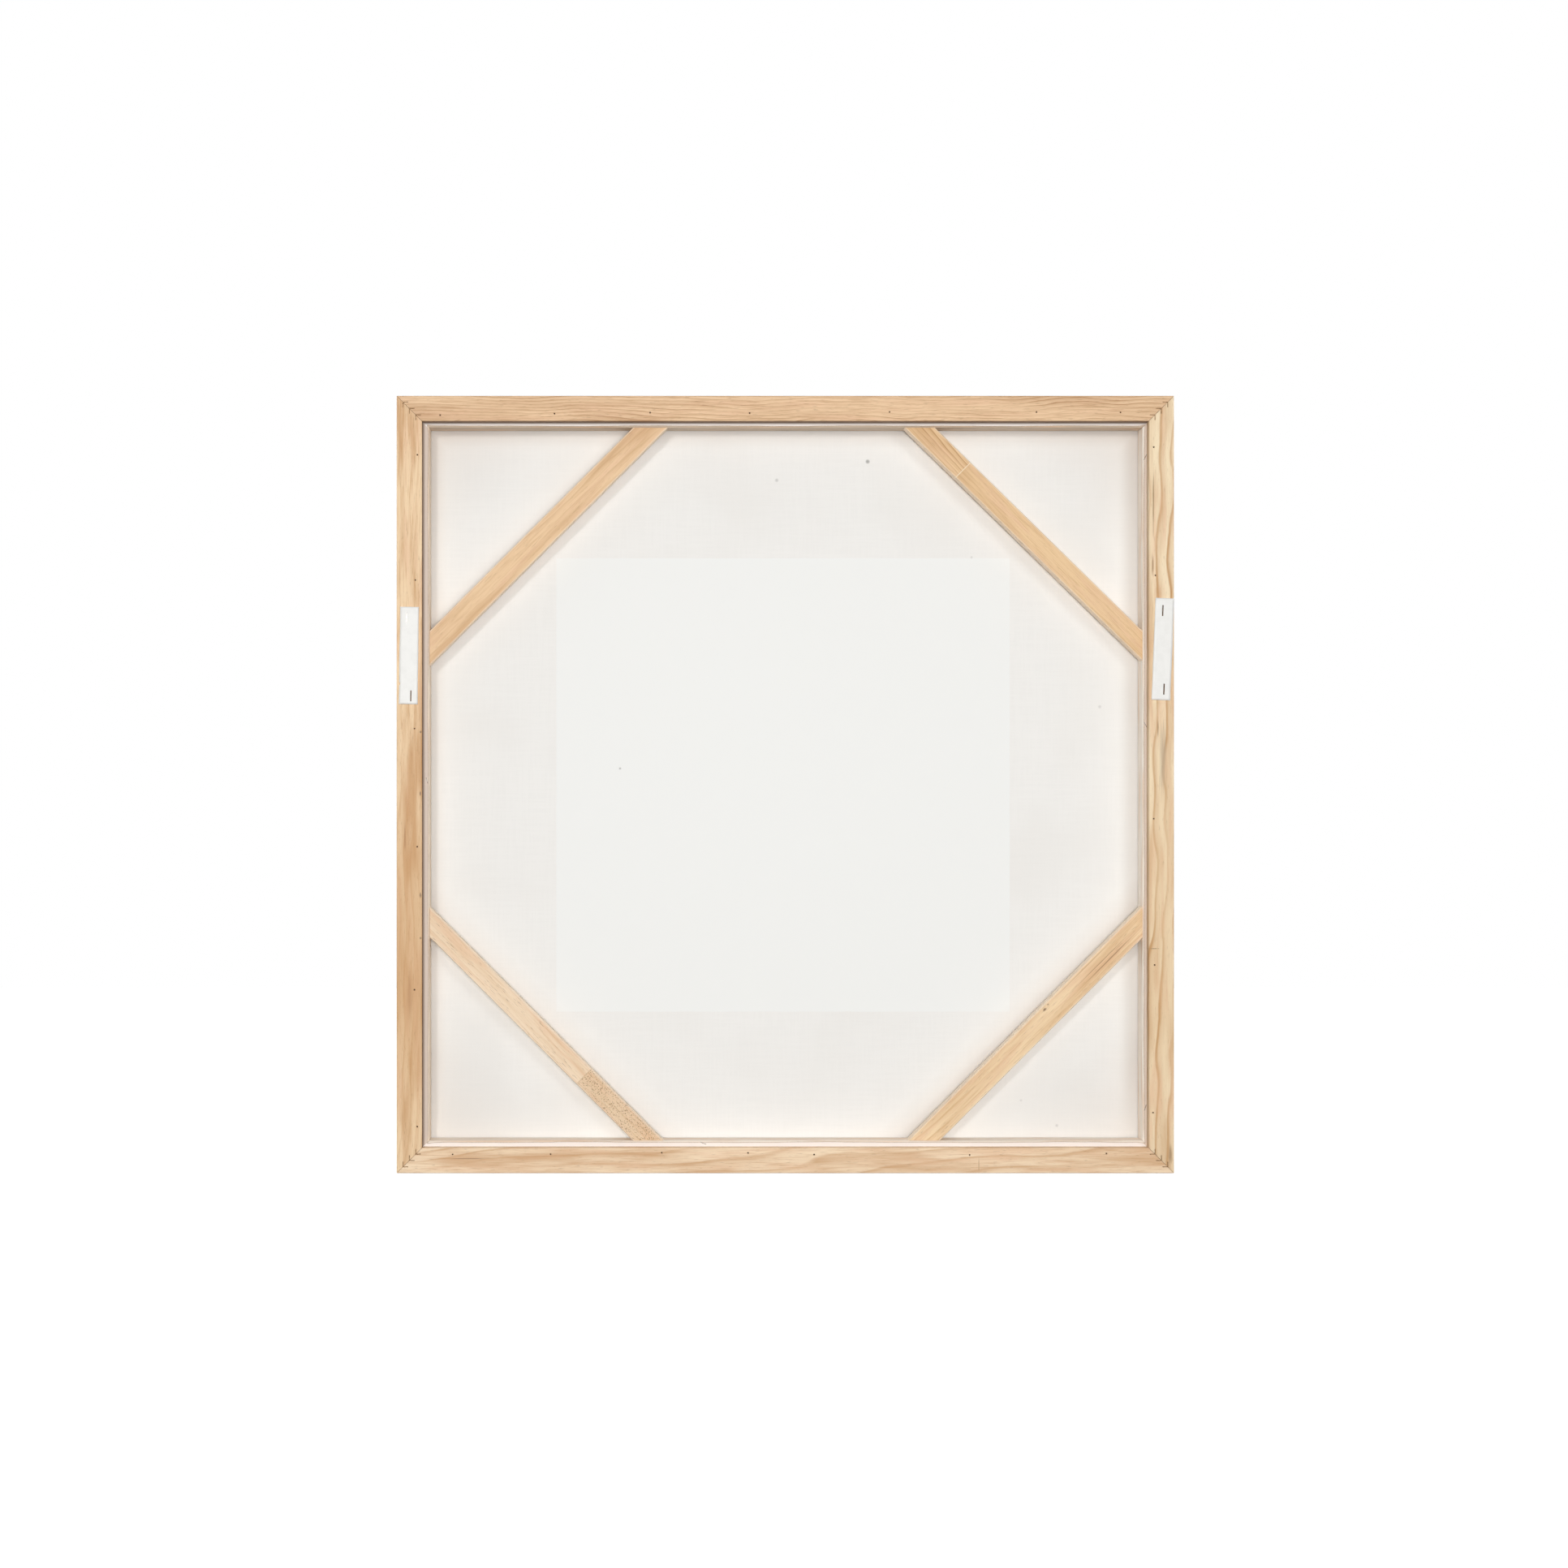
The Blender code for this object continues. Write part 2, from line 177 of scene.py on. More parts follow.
BOARDS = {
    "rail_top": Board(
        LEVEL, 4.4 * MM, 6 * MM, 0.13, 0.9, 0.004, 0.4, 0.35, 0.40, (1.7, 0.2, 0.1), sawn=(1.0, 1.5 * MM),
    ),
    "rail_bottom": Board(
        LEVEL, 14 * MM, 9 * MM, 0.20, 0.6, -0.075, 0.35, 0.6, 0.36, (4.1, 1.2, 0.7), sawn=(0.08, 0.7 * MM),
        marks=(
            Mark((-0.379, 0.0172), 0.032, 0.0007, "8F6A45", 0.75),
            Mark((0.2275, 0.0098), 0.0005, 0.011, "9C7448", 0.7),
        ),
    ),
    "rail_left": Board(
        UPRIGHT, 8.5 * MM, 6 * MM, 0.16, 0.4, 0.015, 0.3, 0.75, 0.34, (2.3, 0.9, 0.4), sawn=(0.95, 0.7 * MM),
        marks=(
            Mark((-0.442, 0.26), 0.24, 0.04, "BA8341", 0.46),
            Mark((-0.4416, 0.207), 0.040, 0.004, "A87440", 0.5),
            Mark((-0.4474, 0.394), 0.018, 0.0014, "9E6C3A", 0.6),
            Mark((-0.4289, 0.519), 0.0016, 0.0016, "5E3F25", 0.8),
            Mark((-0.4291, 0.4465), 0.0030, 0.0013, "5E3F25", 0.7),
            Mark((-0.4291, 0.327), 0.0040, 0.0014, "5E3F25", 0.7),
            Mark((-0.4289, 0.2766), 0.0018, 0.0015, "5E3F25", 0.7),
        ),
    ),
    "rail_right": Board(
        UPRIGHT, 14 * MM, 7 * MM, 0.11, 1.0, 0.02, 0.25, 0.5, 0.18, (7.6, 0.5, 0.9), sawn=(0.25, 1.6 * MM),
        marks=(
            Mark((0.4420, 0.270), 0.25, 0.03, "C99A5E", 0.28),
            Mark((0.4333, 0.2642), 0.0005, 0.0085, "7A5A38", 0.8),
            Mark((0.4440, 0.490), 0.045, 0.0055, "A8977C", 0.6),
            Mark((0.4381, 0.5237), 0.012, 0.0010, "8E6638", 0.7),
            Mark((0.4528, 0.0225), 0.014, 0.0028, "8C6C48", 0.7),
            Mark((0.4329, 0.788), 0.045, 0.0014, "8E6638", 0.75),
            Mark((0.4320, 0.7147), 0.015, 0.0014, "8E6638", 0.7),
        ),
    ),
    "brace_bottom_left": Board(
        FALLING, 6.4 * MM, 1.5 * MM, 0.20, 0.3, 0.02, 0.5, 0.2, 0.30, (3.4, 0.3, 1.1),
        joint=Joint((-0.2374, 0.1122), "B08A5C", 0.35, 0.15, 0.9),
    ),
    "brace_bottom_right": Board(
        RISING, 8.2 * MM, 4 * MM, 0.18, 0.5, 0.03, 0.3, 0.5, 0.26, (0.6, 1.3, 0.2),
        marks=(
            Mark((0.3069, 0.1916), 0.0032, 0.0018, "6B4A2C", 0.9),
            Mark((0.3110, 0.1975), 0.0018, 0.0010, "6B4A2C", 0.6),
            Mark((0.3817, 0.2491), 0.062, 0.0009, "8E5F34", 0.7),
            Mark((0.3722, 0.2463), 0.055, 0.0008, "9A6B3C", 0.6),
            Mark((0.3560, 0.2425), 0.060, 0.0007, "A87A48", 0.5),
        ),
    ),
    "brace_top_right": Board(
        FALLING, 5.2 * MM, 4 * MM, 0.12, 1.0, 0.02, 0.3, 0.45, 0.28, (5.2, 0.8, 0.5),
        joint=Joint((0.2093, 0.8273), "F6E3C6", 0.8, 0.3, 0.0),
    ),
    "brace_top_left": Board(RISING, 8.8 * MM, 5 * MM, 0.14, 0.35, 0.05, 0.25, 0.7, 0.20, (6.3, 0.4, 1.6)),
    "bar_bottom": Board(LEVEL, 7 * MM, 2 * MM, 0.2, 0.4, 0.0, 0.1, 0.2, 0.3, (1.0, 0.7, 0.3)),
    "bar_right": Board(UPRIGHT, 7 * MM, 2 * MM, 0.2, 0.4, 0.0, 0.1, 0.3, 0.3, (3.0, 0.7, 0.6)),
    "bar_top": Board(LEVEL, 7 * MM, 2 * MM, 0.2, 0.4, 0.0, 0.1, 0.3, 0.3, (5.0, 0.7, 0.9)),
    "bar_left": Board(UPRIGHT, 7 * MM, 2 * MM, 0.2, 0.4, 0.0, 0.1, 0.3, 0.3, (7.0, 0.7, 1.2)),
}
# Early and late wood of each board
BOARD_TONES = {
    "rail_top": ("EDC9A0", "A97948"),
    "rail_bottom": ("F8DEBC", "C08C55"),
    "rail_left": ("F2D4AB", "B88144"),
    "rail_right": ("F8E3BF", "BA874C"),
    "brace_bottom_left": ("F3DABB", "CDA470"),
    "brace_bottom_right": ("F5D8AE", "C8965C"),
    "brace_top_right": ("EBC798", "B5834A"),
    "brace_top_left": ("EAC69A", "B98750"),
    # The bars' tones are painted light and shade for their inner faces: darkest on the top bar, which faces
    # down, then the left, with the bottom and the right palest
    "bar_bottom": ("F6EADC", "E4D4C0"),
    "bar_right": ("FFF6EA", "ECDCC8"),
    "bar_top": ("D3BFA9", "B29B83"),
    "bar_left": ("F2E1CC", "D6C0A8"),
}
# How soft a mark's border is, as shares of its size
MARK_EDGE = (1.0, 1.9)
FIBRE_LENGTH = 30 * MM
FLECK_LENGTH = 10 * MM
FLECK_WIDTH = 0.9 * MM
PIT_LENGTH = 1.5 * MM
PIT_WIDTH = 0.9 * MM
CLOUD_LENGTH = 150 * MM
CLOUD_WIDTH = 16 * MM
SHIVER_LENGTH = 36 * MM
SHIVER_WIDTH = 8 * MM
DRIFT_WIDTH = 50 * MM
BLUSH_LENGTH = 90 * MM
BLUSH_WIDTH = 9 * MM
PATCH_LENGTH = 240 * MM
PATCH_WIDTH = 22 * MM
HAIRLINE = (0.2 * MM, 0.8 * MM)
# One growth ring from its start: pale early wood that darkens to a thin late-wood line
RING_STOPS = ((0.0, 0.0), (1.0, 0.0), (0.30, 0.05), (0.70, 0.35), (0.88, 1.0), (0.95, 0.6))
# Shorter edges of a board are not taken for its arrises
ARRIS_LENGTH = 100 * MM
# How far the rings lean through the thickness of a board
RING_LEAN = 0.5
# Between which levels each noise of the wood comes up
DRIFT_SPAN = (0.25, 0.75)
PATCH_SPAN = (0.30, 0.68)
BLUSH_SPAN = (0.45, 0.70)
CLOUD_SPAN = (0.40, 0.75)
FIBRE_SPAN = (0.46, 0.70)
FLECK_SPAN = (0.62, 0.76)
PIT_SPAN = (0.58, 0.68)
NOISE_ROUGHNESS = 0.55
# The least that the rings show in any patch
PATCH_LEAST = 0.25
# How many times fainter the ground between the pits is than the pits
PIT_CONTRAST = 3
MARK_RAGGED = 1.6
# How far a face turns from the back before it counts as a side
SIDE_SPAN = (0.3, 0.7)
SAWN_START = 0.1 * MM
SAWN_TUCK = 1.0 * MM
GRAIN_BUMP = 0.35
PINE_ROUGHNESS = (0.48, 0.66)
PINE_IOR = 1.53


def along_and_across(place, grain):
    """A place on the back of the work, measured along and across a board's grain."""
    x, z = place
    return x * math.cos(grain) + z * math.sin(grain), z * math.cos(grain) - x * math.sin(grain)


def arrises_of(node_name):
    """The direction across a board that finds it narrowest, and where its two long edges lie along it."""
    mesh = NODES[node_name].data
    points = [vert.co for vert in mesh.vertices]
    found = []
    for edge in mesh.edges:
        start, end = (points[number] for number in edge.vertices)
        across = (end - start).cross(INWARD)
        if across.length > ARRIS_LENGTH:
            across.normalize()
            spread = [across.dot(point) for point in points]
            found.append((across, min(spread), max(spread)))
    return min(found, key=lambda limits: limits[2] - limits[1])


def grain_noise(add, place, length, width, detail):
    """Noise whose streaks are this long along the grain and this wide across it."""
    scaled = add("VectorMath", place, (1 / length, 1 / width, 1 / width), operation="MULTIPLY")
    return add("TexNoise", scaled, inputs={"Scale": 1.0, "Detail": detail, "Roughness": NOISE_ROUGHNESS})


def pine_planed(name, board, pale, dark, timber, mitred=False, arrises=None):
    """Pine, planed and left bare: pale early wood, darker late-wood lines, fine fibres and a dull sheen."""
    material, add = new_material(name)
    place = add("TexCoord").outputs["Object"]
    turned = add("Mapping", place, inputs={"Rotation": (0.0, board.grain, 0.0)})
    run = add("SeparateXYZ", turned)
    seed = add("VectorMath", turned, board.shift, operation="ADD")
    strength = board.rings
    if board.joint:
        spot, _ = along_and_across(board.joint.place, board.grain)
        past = add("Math", run.outputs["X"], spot, operation="SUBTRACT")
        beyond = add("Math", past, 0.0, operation="GREATER_THAN")
        seed = add("VectorMath", seed, add("CombineXYZ", beyond, beyond), operation="ADD")
        strength = add("MapRange", beyond, 0.0, 1.0, board.rings, board.joint.rings)

    # The growth rings drift slowly along the board and shiver a little
    drift = grain_noise(add, seed, board.reach, DRIFT_WIDTH, 1.0)
    drift = add("MapRange", drift, *DRIFT_SPAN, -board.wander, board.wander)
    shiver = grain_noise(add, seed, SHIVER_LENGTH, SHIVER_WIDTH, 2.0)
    shiver = add("MapRange", shiver, 0.0, 1.0, -timber.shiver, timber.shiver)
    sunk = add("Math", run.outputs["Y"], RING_LEAN, run.outputs["Z"], operation="MULTIPLY_ADD")
    climbed = add("Math", run.outputs["X"], board.climb, sunk, operation="MULTIPLY_ADD")
    moved = add("Math", climbed, drift, operation="ADD")
    moved = add("Math", moved, shiver, operation="ADD")
    rings = add("Math", moved, board.ring, operation="DIVIDE")
    within = add("Math", rings, operation="FRACT")
    late = add("ValToRGB", within, stops=RING_STOPS)
    patch = grain_noise(add, seed, PATCH_LENGTH, PATCH_WIDTH, 1.0)
    showing = add("MapRange", patch, *PATCH_SPAN, PATCH_LEAST, 1.0, interpolation_type=EASED)
    shown = add("Math", late, showing, operation="MULTIPLY")
    factor = add("Math", shown, strength, operation="MULTIPLY")
    colour = add("Mix", factor, pale, dark, data_type="RGBA")

    # A pink blush, broad warm clouds, then fibres and short resin flecks along the grain
    blush = grain_noise(add, seed, BLUSH_LENGTH, BLUSH_WIDTH, 2.0)
    blushing = add("MapRange", blush, *BLUSH_SPAN, 0.0, timber.blush_strength, interpolation_type=EASED)
    colour = add("Mix", blushing, colour, timber.blush_colour, data_type="RGBA")
    cloud = grain_noise(add, seed, CLOUD_LENGTH, CLOUD_WIDTH, 2.0)
    warmth = add("MapRange", cloud, *CLOUD_SPAN, 0.0, board.clouds, interpolation_type=EASED)
    colour = add("Mix", warmth, colour, dark, data_type="RGBA")
    fibre = grain_noise(add, seed, FIBRE_LENGTH, timber.fibre_width, 3.0)
    fibres = add("MapRange", fibre, *FIBRE_SPAN, 0.0, board.fibres, interpolation_type=EASED)
    colour = add("Mix", fibres, colour, dark, data_type="RGBA")
    fleck = grain_noise(add, seed, FLECK_LENGTH, FLECK_WIDTH, 1.0)
    flecks = add("MapRange", fleck, *FLECK_SPAN, 0.0, board.flecks, interpolation_type=EASED)
    colour = add("Mix", flecks, colour, timber.fleck_colour, data_type="RGBA")

    if board.joint:
        pit = grain_noise(add, seed, PIT_LENGTH, PIT_WIDTH, 1.0)
        pits = add("MapRange", pit, *PIT_SPAN, 0.0, board.joint.pits, interpolation_type=EASED)
        pits = add("Math", pits, beyond, operation="MULTIPLY")
        ripe = add("Math", beyond, board.joint.pits / PIT_CONTRAST, operation="MULTIPLY")
        colour = add("Mix", ripe, colour, dark, data_type="RGBA")
        colour = add("Mix", pits, colour, timber.fleck_colour, data_type="RGBA")
        gap = add("Math", past, operation="ABSOLUTE")
        line = add("MapRange", gap, *HAIRLINE, board.joint.strength, 0.0, interpolation_type=EASED)
        colour = add("Mix", line, colour, linear(board.joint.colour), data_type="RGBA")
    for mark in board.marks:
        along, across = along_and_across(mark.place, board.grain)
        scale = Vector((1 / mark.along, 0.0, 1 / mark.across))
        shift = (-along * scale.x, 0.0, -across * scale.z)
        local = add("Mapping", turned, inputs={"Location": shift, "Scale": scale})
        distance = add("VectorMath", local, operation="LENGTH").outputs["Value"]
        ragged = add("Math", fibre, MARK_RAGGED, distance, operation="MULTIPLY_ADD")
        spread = add("MapRange", ragged, *MARK_EDGE, mark.strength, 0.0, interpolation_type=EASED)
        colour = add("Mix", spread, colour, linear(mark.colour), data_type="RGBA")
    if arrises:
        # The sides are painted paler than the back, as painted light, and so is a painted highlight along
        # each long edge
        normal = add("SeparateXYZ", add("NewGeometry").outputs["Normal"])
        square = add("Math", normal.outputs["Y"], operation="ABSOLUTE")
        side = add("MapRange", square, *SIDE_SPAN, timber.side_light_strength, 0.0)
        colour = add("Mix", side, colour, timber.side_light_colour, data_type="RGBA")
        across, low, high = arrises
        half = (high - low) / 2
        off_middle = add("VectorMath", place, across, operation="DOT_PRODUCT").outputs["Value"]
        off_middle = add("Math", off_middle, low + half, operation="SUBTRACT")
        off_middle = add("Math", off_middle, operation="ABSOLUTE")
        arris_highlight = add(
            "MapRange", off_middle, half - timber.arris_highlight_width, half, 0.0, timber.arris_highlight_strength,
            interpolation_type=EASED,
        )
        arris_highlight = add("Math", arris_highlight, square, operation="MULTIPLY")
        colour = add("Mix", arris_highlight, colour, timber.side_light_colour, data_type="RGBA")
    if mitred:
        # A hairline where two mitred boards meet, and painted shade on the sawn inner edge of the ledge and
        # just beyond it, darkest along the top and the left
        from_middle = add("VectorMath", place, MIDDLE, operation="SUBTRACT")
        out = add("SeparateXYZ", add("VectorMath", from_middle, operation="ABSOLUTE"))
        apart = add("Math", out.outputs["X"], out.outputs["Z"], operation="SUBTRACT")
        apart = add("Math", apart, operation="ABSOLUTE")
        hairline = add("MapRange", apart, *HAIRLINE, timber.mitre_strength, 0.0, interpolation_type=EASED)
        colour = add("Mix", hairline, colour, timber.fleck_colour, data_type="RGBA")
        reach = add("Math", out.outputs["X"], out.outputs["Z"], operation="MAXIMUM")
        strength, width = board.sawn
        sawn = add(
            "MapRange", reach, LEDGE_HALF + SAWN_START, LEDGE_HALF + width, strength, 0.0,
            interpolation_type=EASED,
        )
        inside = add("Math", reach, LEDGE_HALF - SAWN_TUCK, operation="GREATER_THAN")
        sawn = add("Math", sawn, inside, operation="MULTIPLY")
        colour = add("Mix", sawn, colour, timber.ledge_shade_colour, data_type="RGBA")

    relief = add("Math", fibre, shown, operation="SUBTRACT")
    bump = add("Bump", inputs={"Height": relief, "Strength": GRAIN_BUMP, "Distance": timber.relief})
    dullness = add("MapRange", fibre, 0.0, 1.0, *PINE_ROUGHNESS)
    shader = add("BsdfPrincipled", colour, inputs={"Roughness": dullness, "Normal": bump, "IOR": PINE_IOR})
    add("OutputMaterial", shader)
    return material


# Small marks on the back of the cloth: across, up, size and strength
CLOTH_SPECKS = (
    (0.1010, 0.8429, 3.4 * MM, 0.9),
    (-0.0075, 0.8206, 3.0 * MM, 0.45),
    (-0.1945, 0.4766, 2.0 * MM, 0.7),
    (0.3780, 0.5503, 2.8 * MM, 0.3),
    (0.2250, 0.7286, 2.2 * MM, 0.3),
    (0.3267, 0.0505, 2.6 * MM, 0.4),
    (0.2841, 0.0805, 2.2 * MM, 0.25),
)
# The inner edge of a corner brace, as the sum of its distances across and up from the middle
BRACE_POINTS = [vert.co - MIDDLE for vert in NODES["corner_brace_bottom_left"].data.vertices]
BRACE_REACH = min(abs(point.x) + abs(point.z) for point in BRACE_POINTS)
# How far the painted shade above a lower brace runs on under it
BRACE_SHADE_TUCK = 20 * MM
SLUB_LENGTH = 33 * MM
SLUB_WIDTH = 1.4 * MM
# The wave texture repeats 20 / 2 pi times in each unit of its scale
WAVE_REPEAT = math.pi / 10
# Between which levels each noise of the cloth comes up
SLUB_SPAN = (0.18, 0.36)
BLOTCH_SPAN = (0.42, 0.70)
FRAY_SPAN = (0.35, 0.65)
# The clean square: waves of its edge to a metre, and how softly it ends
EDGE_RATE = 90.0
EDGE_FADE = 1.5 * MM
# How squarely a face looks back before it counts as the reverse
BACK_SPAN = (-0.8, -0.2)
SPECK_CORE = 0.3
# How many shade widths up from the bottom the painted shade beside the bars is at its full strength
SHADE_RISE = 4
TURNED_IN = (CLOTH_LOW.y + 1.0 * MM, CLOTH_LOW.y + 2.0 * MM)
SLUB_RELIEF = 0.3
WEAVE_BUMP = 0.07
# How many times wider than its relief a thread is
THREAD_FLATNESS = 4
PRIMED_ROUGHNESS = 0.86
RAW_ROUGHNESS = 0.9
COTTON_IOR = 1.5


def cotton_duck_primed(name, cloth):
    """Cotton duck, woven and primed: matt white, faintly uneven, darker where it turns in, with painted shade
    beside the bars, braces and ledge.
    """
    material, add = new_material(name)
    place = add("TexCoord").outputs["Object"]
    # Threads finer than a pixel only soften the light, so thicker slubs carry the weave at a distance
    wave_scale = WAVE_REPEAT / cloth.thread_spacing
    warp = add("TexWave", place, inputs={"Scale": wave_scale}, bands_direction="X").outputs["Fac"]
    weft = add("TexWave", place, inputs={"Scale": wave_scale}, bands_direction="Z").outputs["Fac"]
    weave = add("Math", warp, weft, operation="MULTIPLY")
    slubs = []
    for grain in ((SLUB_LENGTH, SLUB_WIDTH), (SLUB_WIDTH, SLUB_LENGTH)):
        scaled = add("VectorMath", place, (1 / grain[0], 1 / SLUB_WIDTH, 1 / grain[1]), operation="MULTIPLY")
        slubs.append(add("TexNoise", scaled, inputs={"Scale": 1.0, "Detail": 2.0}))
    slub = add("Math", *slubs, operation="MULTIPLY")
    shade = add("MapRange", slub, *SLUB_SPAN, 0.0, 1.0, interpolation_type=EASED)
    colour = add("Mix", shade, cloth.pale, cloth.shade, data_type="RGBA")
    blotch = add("TexNoise", place, inputs={"Scale": 1 / cloth.blotch_size, "Detail": 2.0})
    blotches = add("MapRange", blotch, *BLOTCH_SPAN, 0.0, cloth.blotch_strength, interpolation_type=EASED)
    colour = add("Mix", blotches, colour, cloth.blotch_colour, data_type="RGBA")

    # A cleaner square at the middle of the back, with a slightly uneven edge
    from_middle = add("VectorMath", place, MIDDLE, operation="SUBTRACT")
    out = add("SeparateXYZ", add("VectorMath", from_middle, operation="ABSOLUTE"))
    reach = add("Math", out.outputs["X"], out.outputs["Z"], operation="MAXIMUM")
    uneven = add("TexNoise", place, inputs={"Scale": EDGE_RATE, "Detail": 2.0})
    edge = add("Math", uneven, EDGE_FADE, reach, operation="MULTIPLY_ADD")
    half_square = cloth.clean_square / 2
    inside = add("MapRange", edge, half_square, half_square + EDGE_FADE, 1.0, 0.0, interpolation_type=EASED)
    facing = add("SeparateXYZ", add("NewGeometry").outputs["Normal"])
    back = add("MapRange", facing.outputs["Y"], *BACK_SPAN, 1.0, 0.0, interpolation_type=EASED)
    reverse = add("Mix", inside, colour, cloth.clean_colour, data_type="RGBA")
    for x, z, size, strength in CLOTH_SPECKS:
        apart = add("VectorMath", place, (x, CLOTH_HIGH.y, z), operation="DISTANCE").outputs["Value"]
        speck = add("MapRange", apart, SPECK_CORE * size, size, strength, 0.0, interpolation_type=EASED)
        reverse = add("Mix", speck, reverse, cloth.speck_colour, data_type="RGBA")
    # Painted shade on the back beside the bars, save along the bottom, and more painted shade in the corners
    spread = add("SeparateXYZ", from_middle).outputs
    painted_shade = add(
        "MapRange", reach, BAR_HALF - cloth.wall_shade_width, BAR_HALF, 0.0, cloth.wall_shade_strength,
        interpolation_type=EASED,
    )
    raised = add("MapRange", spread["Z"], -BAR_HALF, SHADE_RISE * cloth.wall_shade_width - BAR_HALF, 0.0, 1.0)
    painted_shade = add("Math", painted_shade, raised, operation="MULTIPLY")
    cornered = add("Math", out.outputs["X"], out.outputs["Z"], operation="ADD")
    dull = add("MapRange", cornered, 2 * BAR_HALF - cloth.corner_shade_reach, 2 * BAR_HALF, 0.0, cloth.corner_shade_strength)
    painted_shade = add("Math", painted_shade, dull, operation="ADD")
    # Painted shade above the lower braces, running on a little under them
    brace_shaded = (BRACE_REACH - cloth.brace_shade_width, BRACE_REACH)
    braced = add("MapRange", cornered, *brace_shaded, 0.0, cloth.brace_shade_strength)
    uncovered = add("Math", cornered, BRACE_REACH + BRACE_SHADE_TUCK, operation="LESS_THAN")
    low_down = add("Math", spread["Z"], 0.0, operation="LESS_THAN")
    drift = add("Math", add("Math", braced, uncovered, operation="MULTIPLY"), low_down, operation="MULTIPLY")
    painted_shade = add("Math", painted_shade, drift, operation="ADD")
    reverse = add("Mix", painted_shade, reverse, cloth.painted_shade_colour, data_type="RGBA")
    colour = add("Mix", back, colour, reverse, data_type="RGBA")

    # The turned-in strips take their own, darker tones, the two upright ones darker still
    depth = add("SeparateXYZ", place).outputs["Y"]
    turned_in = add("MapRange", depth, *TURNED_IN, 1.0, 0.0)
    upright = add("Math", out.outputs["X"], out.outputs["Z"], operation="GREATER_THAN")
    strip_tone = add("Mix", upright, cloth.turn_in_colour, cloth.upright_colour, data_type="RGBA")
    colour = add("Mix", turned_in, colour, strip_tone, data_type="RGBA")
    # A painted shadow beside the ledge along the top and the left
    dusty = add("Math", spread["Z"], spread["X"], operation="GREATER_THAN")
    dusty = add("Math", dusty, turned_in, operation="MULTIPLY")
    near = add("MapRange", reach, LEDGE_HALF - cloth.ledge_shadow_width, LEDGE_HALF, 0.0, cloth.ledge_shadow_strength)
    dust = add("Math", dusty, near, operation="MULTIPLY")
    colour = add("Mix", dust, colour, cloth.ledge_shadow_colour, data_type="RGBA")
    height = add("Math", slub, SLUB_RELIEF, weave, operation="MULTIPLY_ADD")
    relief = cloth.thread_spacing / THREAD_FLATNESS
    bump = add("Bump", inputs={"Height": height, "Strength": WEAVE_BUMP, "Distance": relief})
    finish = {"Roughness": PRIMED_ROUGHNESS, "Normal": bump, "IOR": COTTON_IOR}
    shader = add("BsdfPrincipled", colour, inputs=finish)
    add("OutputMaterial", shader)
    return material


def cotton_duck_raw(name, cloth):
    """Cotton duck at its cut edge, where no primer reaches: matt beige threads, darker also as painted shade
    under the lifted edge.
    """
    material, add = new_material(name)
    place = add("TexCoord").outputs["Object"]
    fray = add("TexNoise", place, inputs={"Scale": 1 / cloth.thread_spacing, "Detail": 2.0})
    frayed = add("MapRange", fray, *FRAY_SPAN, 0.0, 1.0, interpolation_type=EASED)
    colour = add("Mix", frayed, cloth.raw_colour, cloth.upright_colour, data_type="RGBA")
    shader = add("BsdfPrincipled", colour, inputs={"Roughness": RAW_ROUGHNESS, "IOR": COTTON_IOR})
    add("OutputMaterial", shader)
    return material


MOTTLE_SPAN = (0.40, 0.70)
RIB_WAVER = 0.4
RIB_BUMP = 0.2
RIB_HEIGHT = 0.1 * MM
STRAP_ROUGHNESS = (0.40, 0.58)
STRAP_IOR = 1.49


def polypropylene_extruded(name, strap):
    """Polypropylene strapping, extruded: near-white, faintly ribbed along its length, with a soft shine."""
    material, add = new_material(name)
    place = add("TexCoord").outputs["Object"]
    rib_scale = WAVE_REPEAT / strap.rib_spacing
    rib_run = {"Scale": rib_scale, "Distortion": RIB_WAVER}
    ribs = add("TexWave", place, inputs=rib_run, bands_direction="X").outputs["Fac"]
    mottle = add("TexNoise", place, inputs={"Scale": 1 / strap.mottle_size, "Detail": 3.0})
    greyer = add("MapRange", mottle, *MOTTLE_SPAN, 0.0, 1.0, interpolation_type=EASED)
    colour = add("Mix", greyer, strap.pale, strap.shade, data_type="RGBA")
    bump = add("Bump", inputs={"Height": ribs, "Strength": RIB_BUMP, "Distance": RIB_HEIGHT})
    dullness = add("MapRange", mottle, 0.0, 1.0, *STRAP_ROUGHNESS)
    shader = add("BsdfPrincipled", colour, inputs={"Roughness": dullness, "Normal": bump, "IOR": STRAP_IOR})
    add("OutputMaterial", shader)
    return material


# Stains on the steel to a metre, and between which levels they come up
STAIN_RATE = 420.0
STAIN_SPAN = (0.40, 0.65)
STEEL_WEAR = 0.1
STEEL_ROUGHNESS = {"dark": 0.5, "oxidised": 0.55, "bright": 0.55, "staple": 0.65}


def steel_wire(name, plain, stained, roughness):
    """Drawn steel wire: grey metal with darker handling stains and a drawn sheen."""
    material, add = new_material(name)
    place = add("TexCoord").outputs["Object"]
    stain = add("TexNoise", place, inputs={"Scale": STAIN_RATE, "Detail": 3.0})
    stains = add("MapRange", stain, *STAIN_SPAN, 0.0, 1.0, interpolation_type=EASED)
    colour = add("Mix", stains, plain, stained, data_type="RGBA")
    wear = add("MapRange", stain, 0.0, 1.0, roughness - STEEL_WEAR, roughness + STEEL_WEAR)
    shader = add("BsdfPrincipled", colour, inputs={"Roughness": wear, "Metallic": 1.0})
    add("OutputMaterial", shader)
    return material


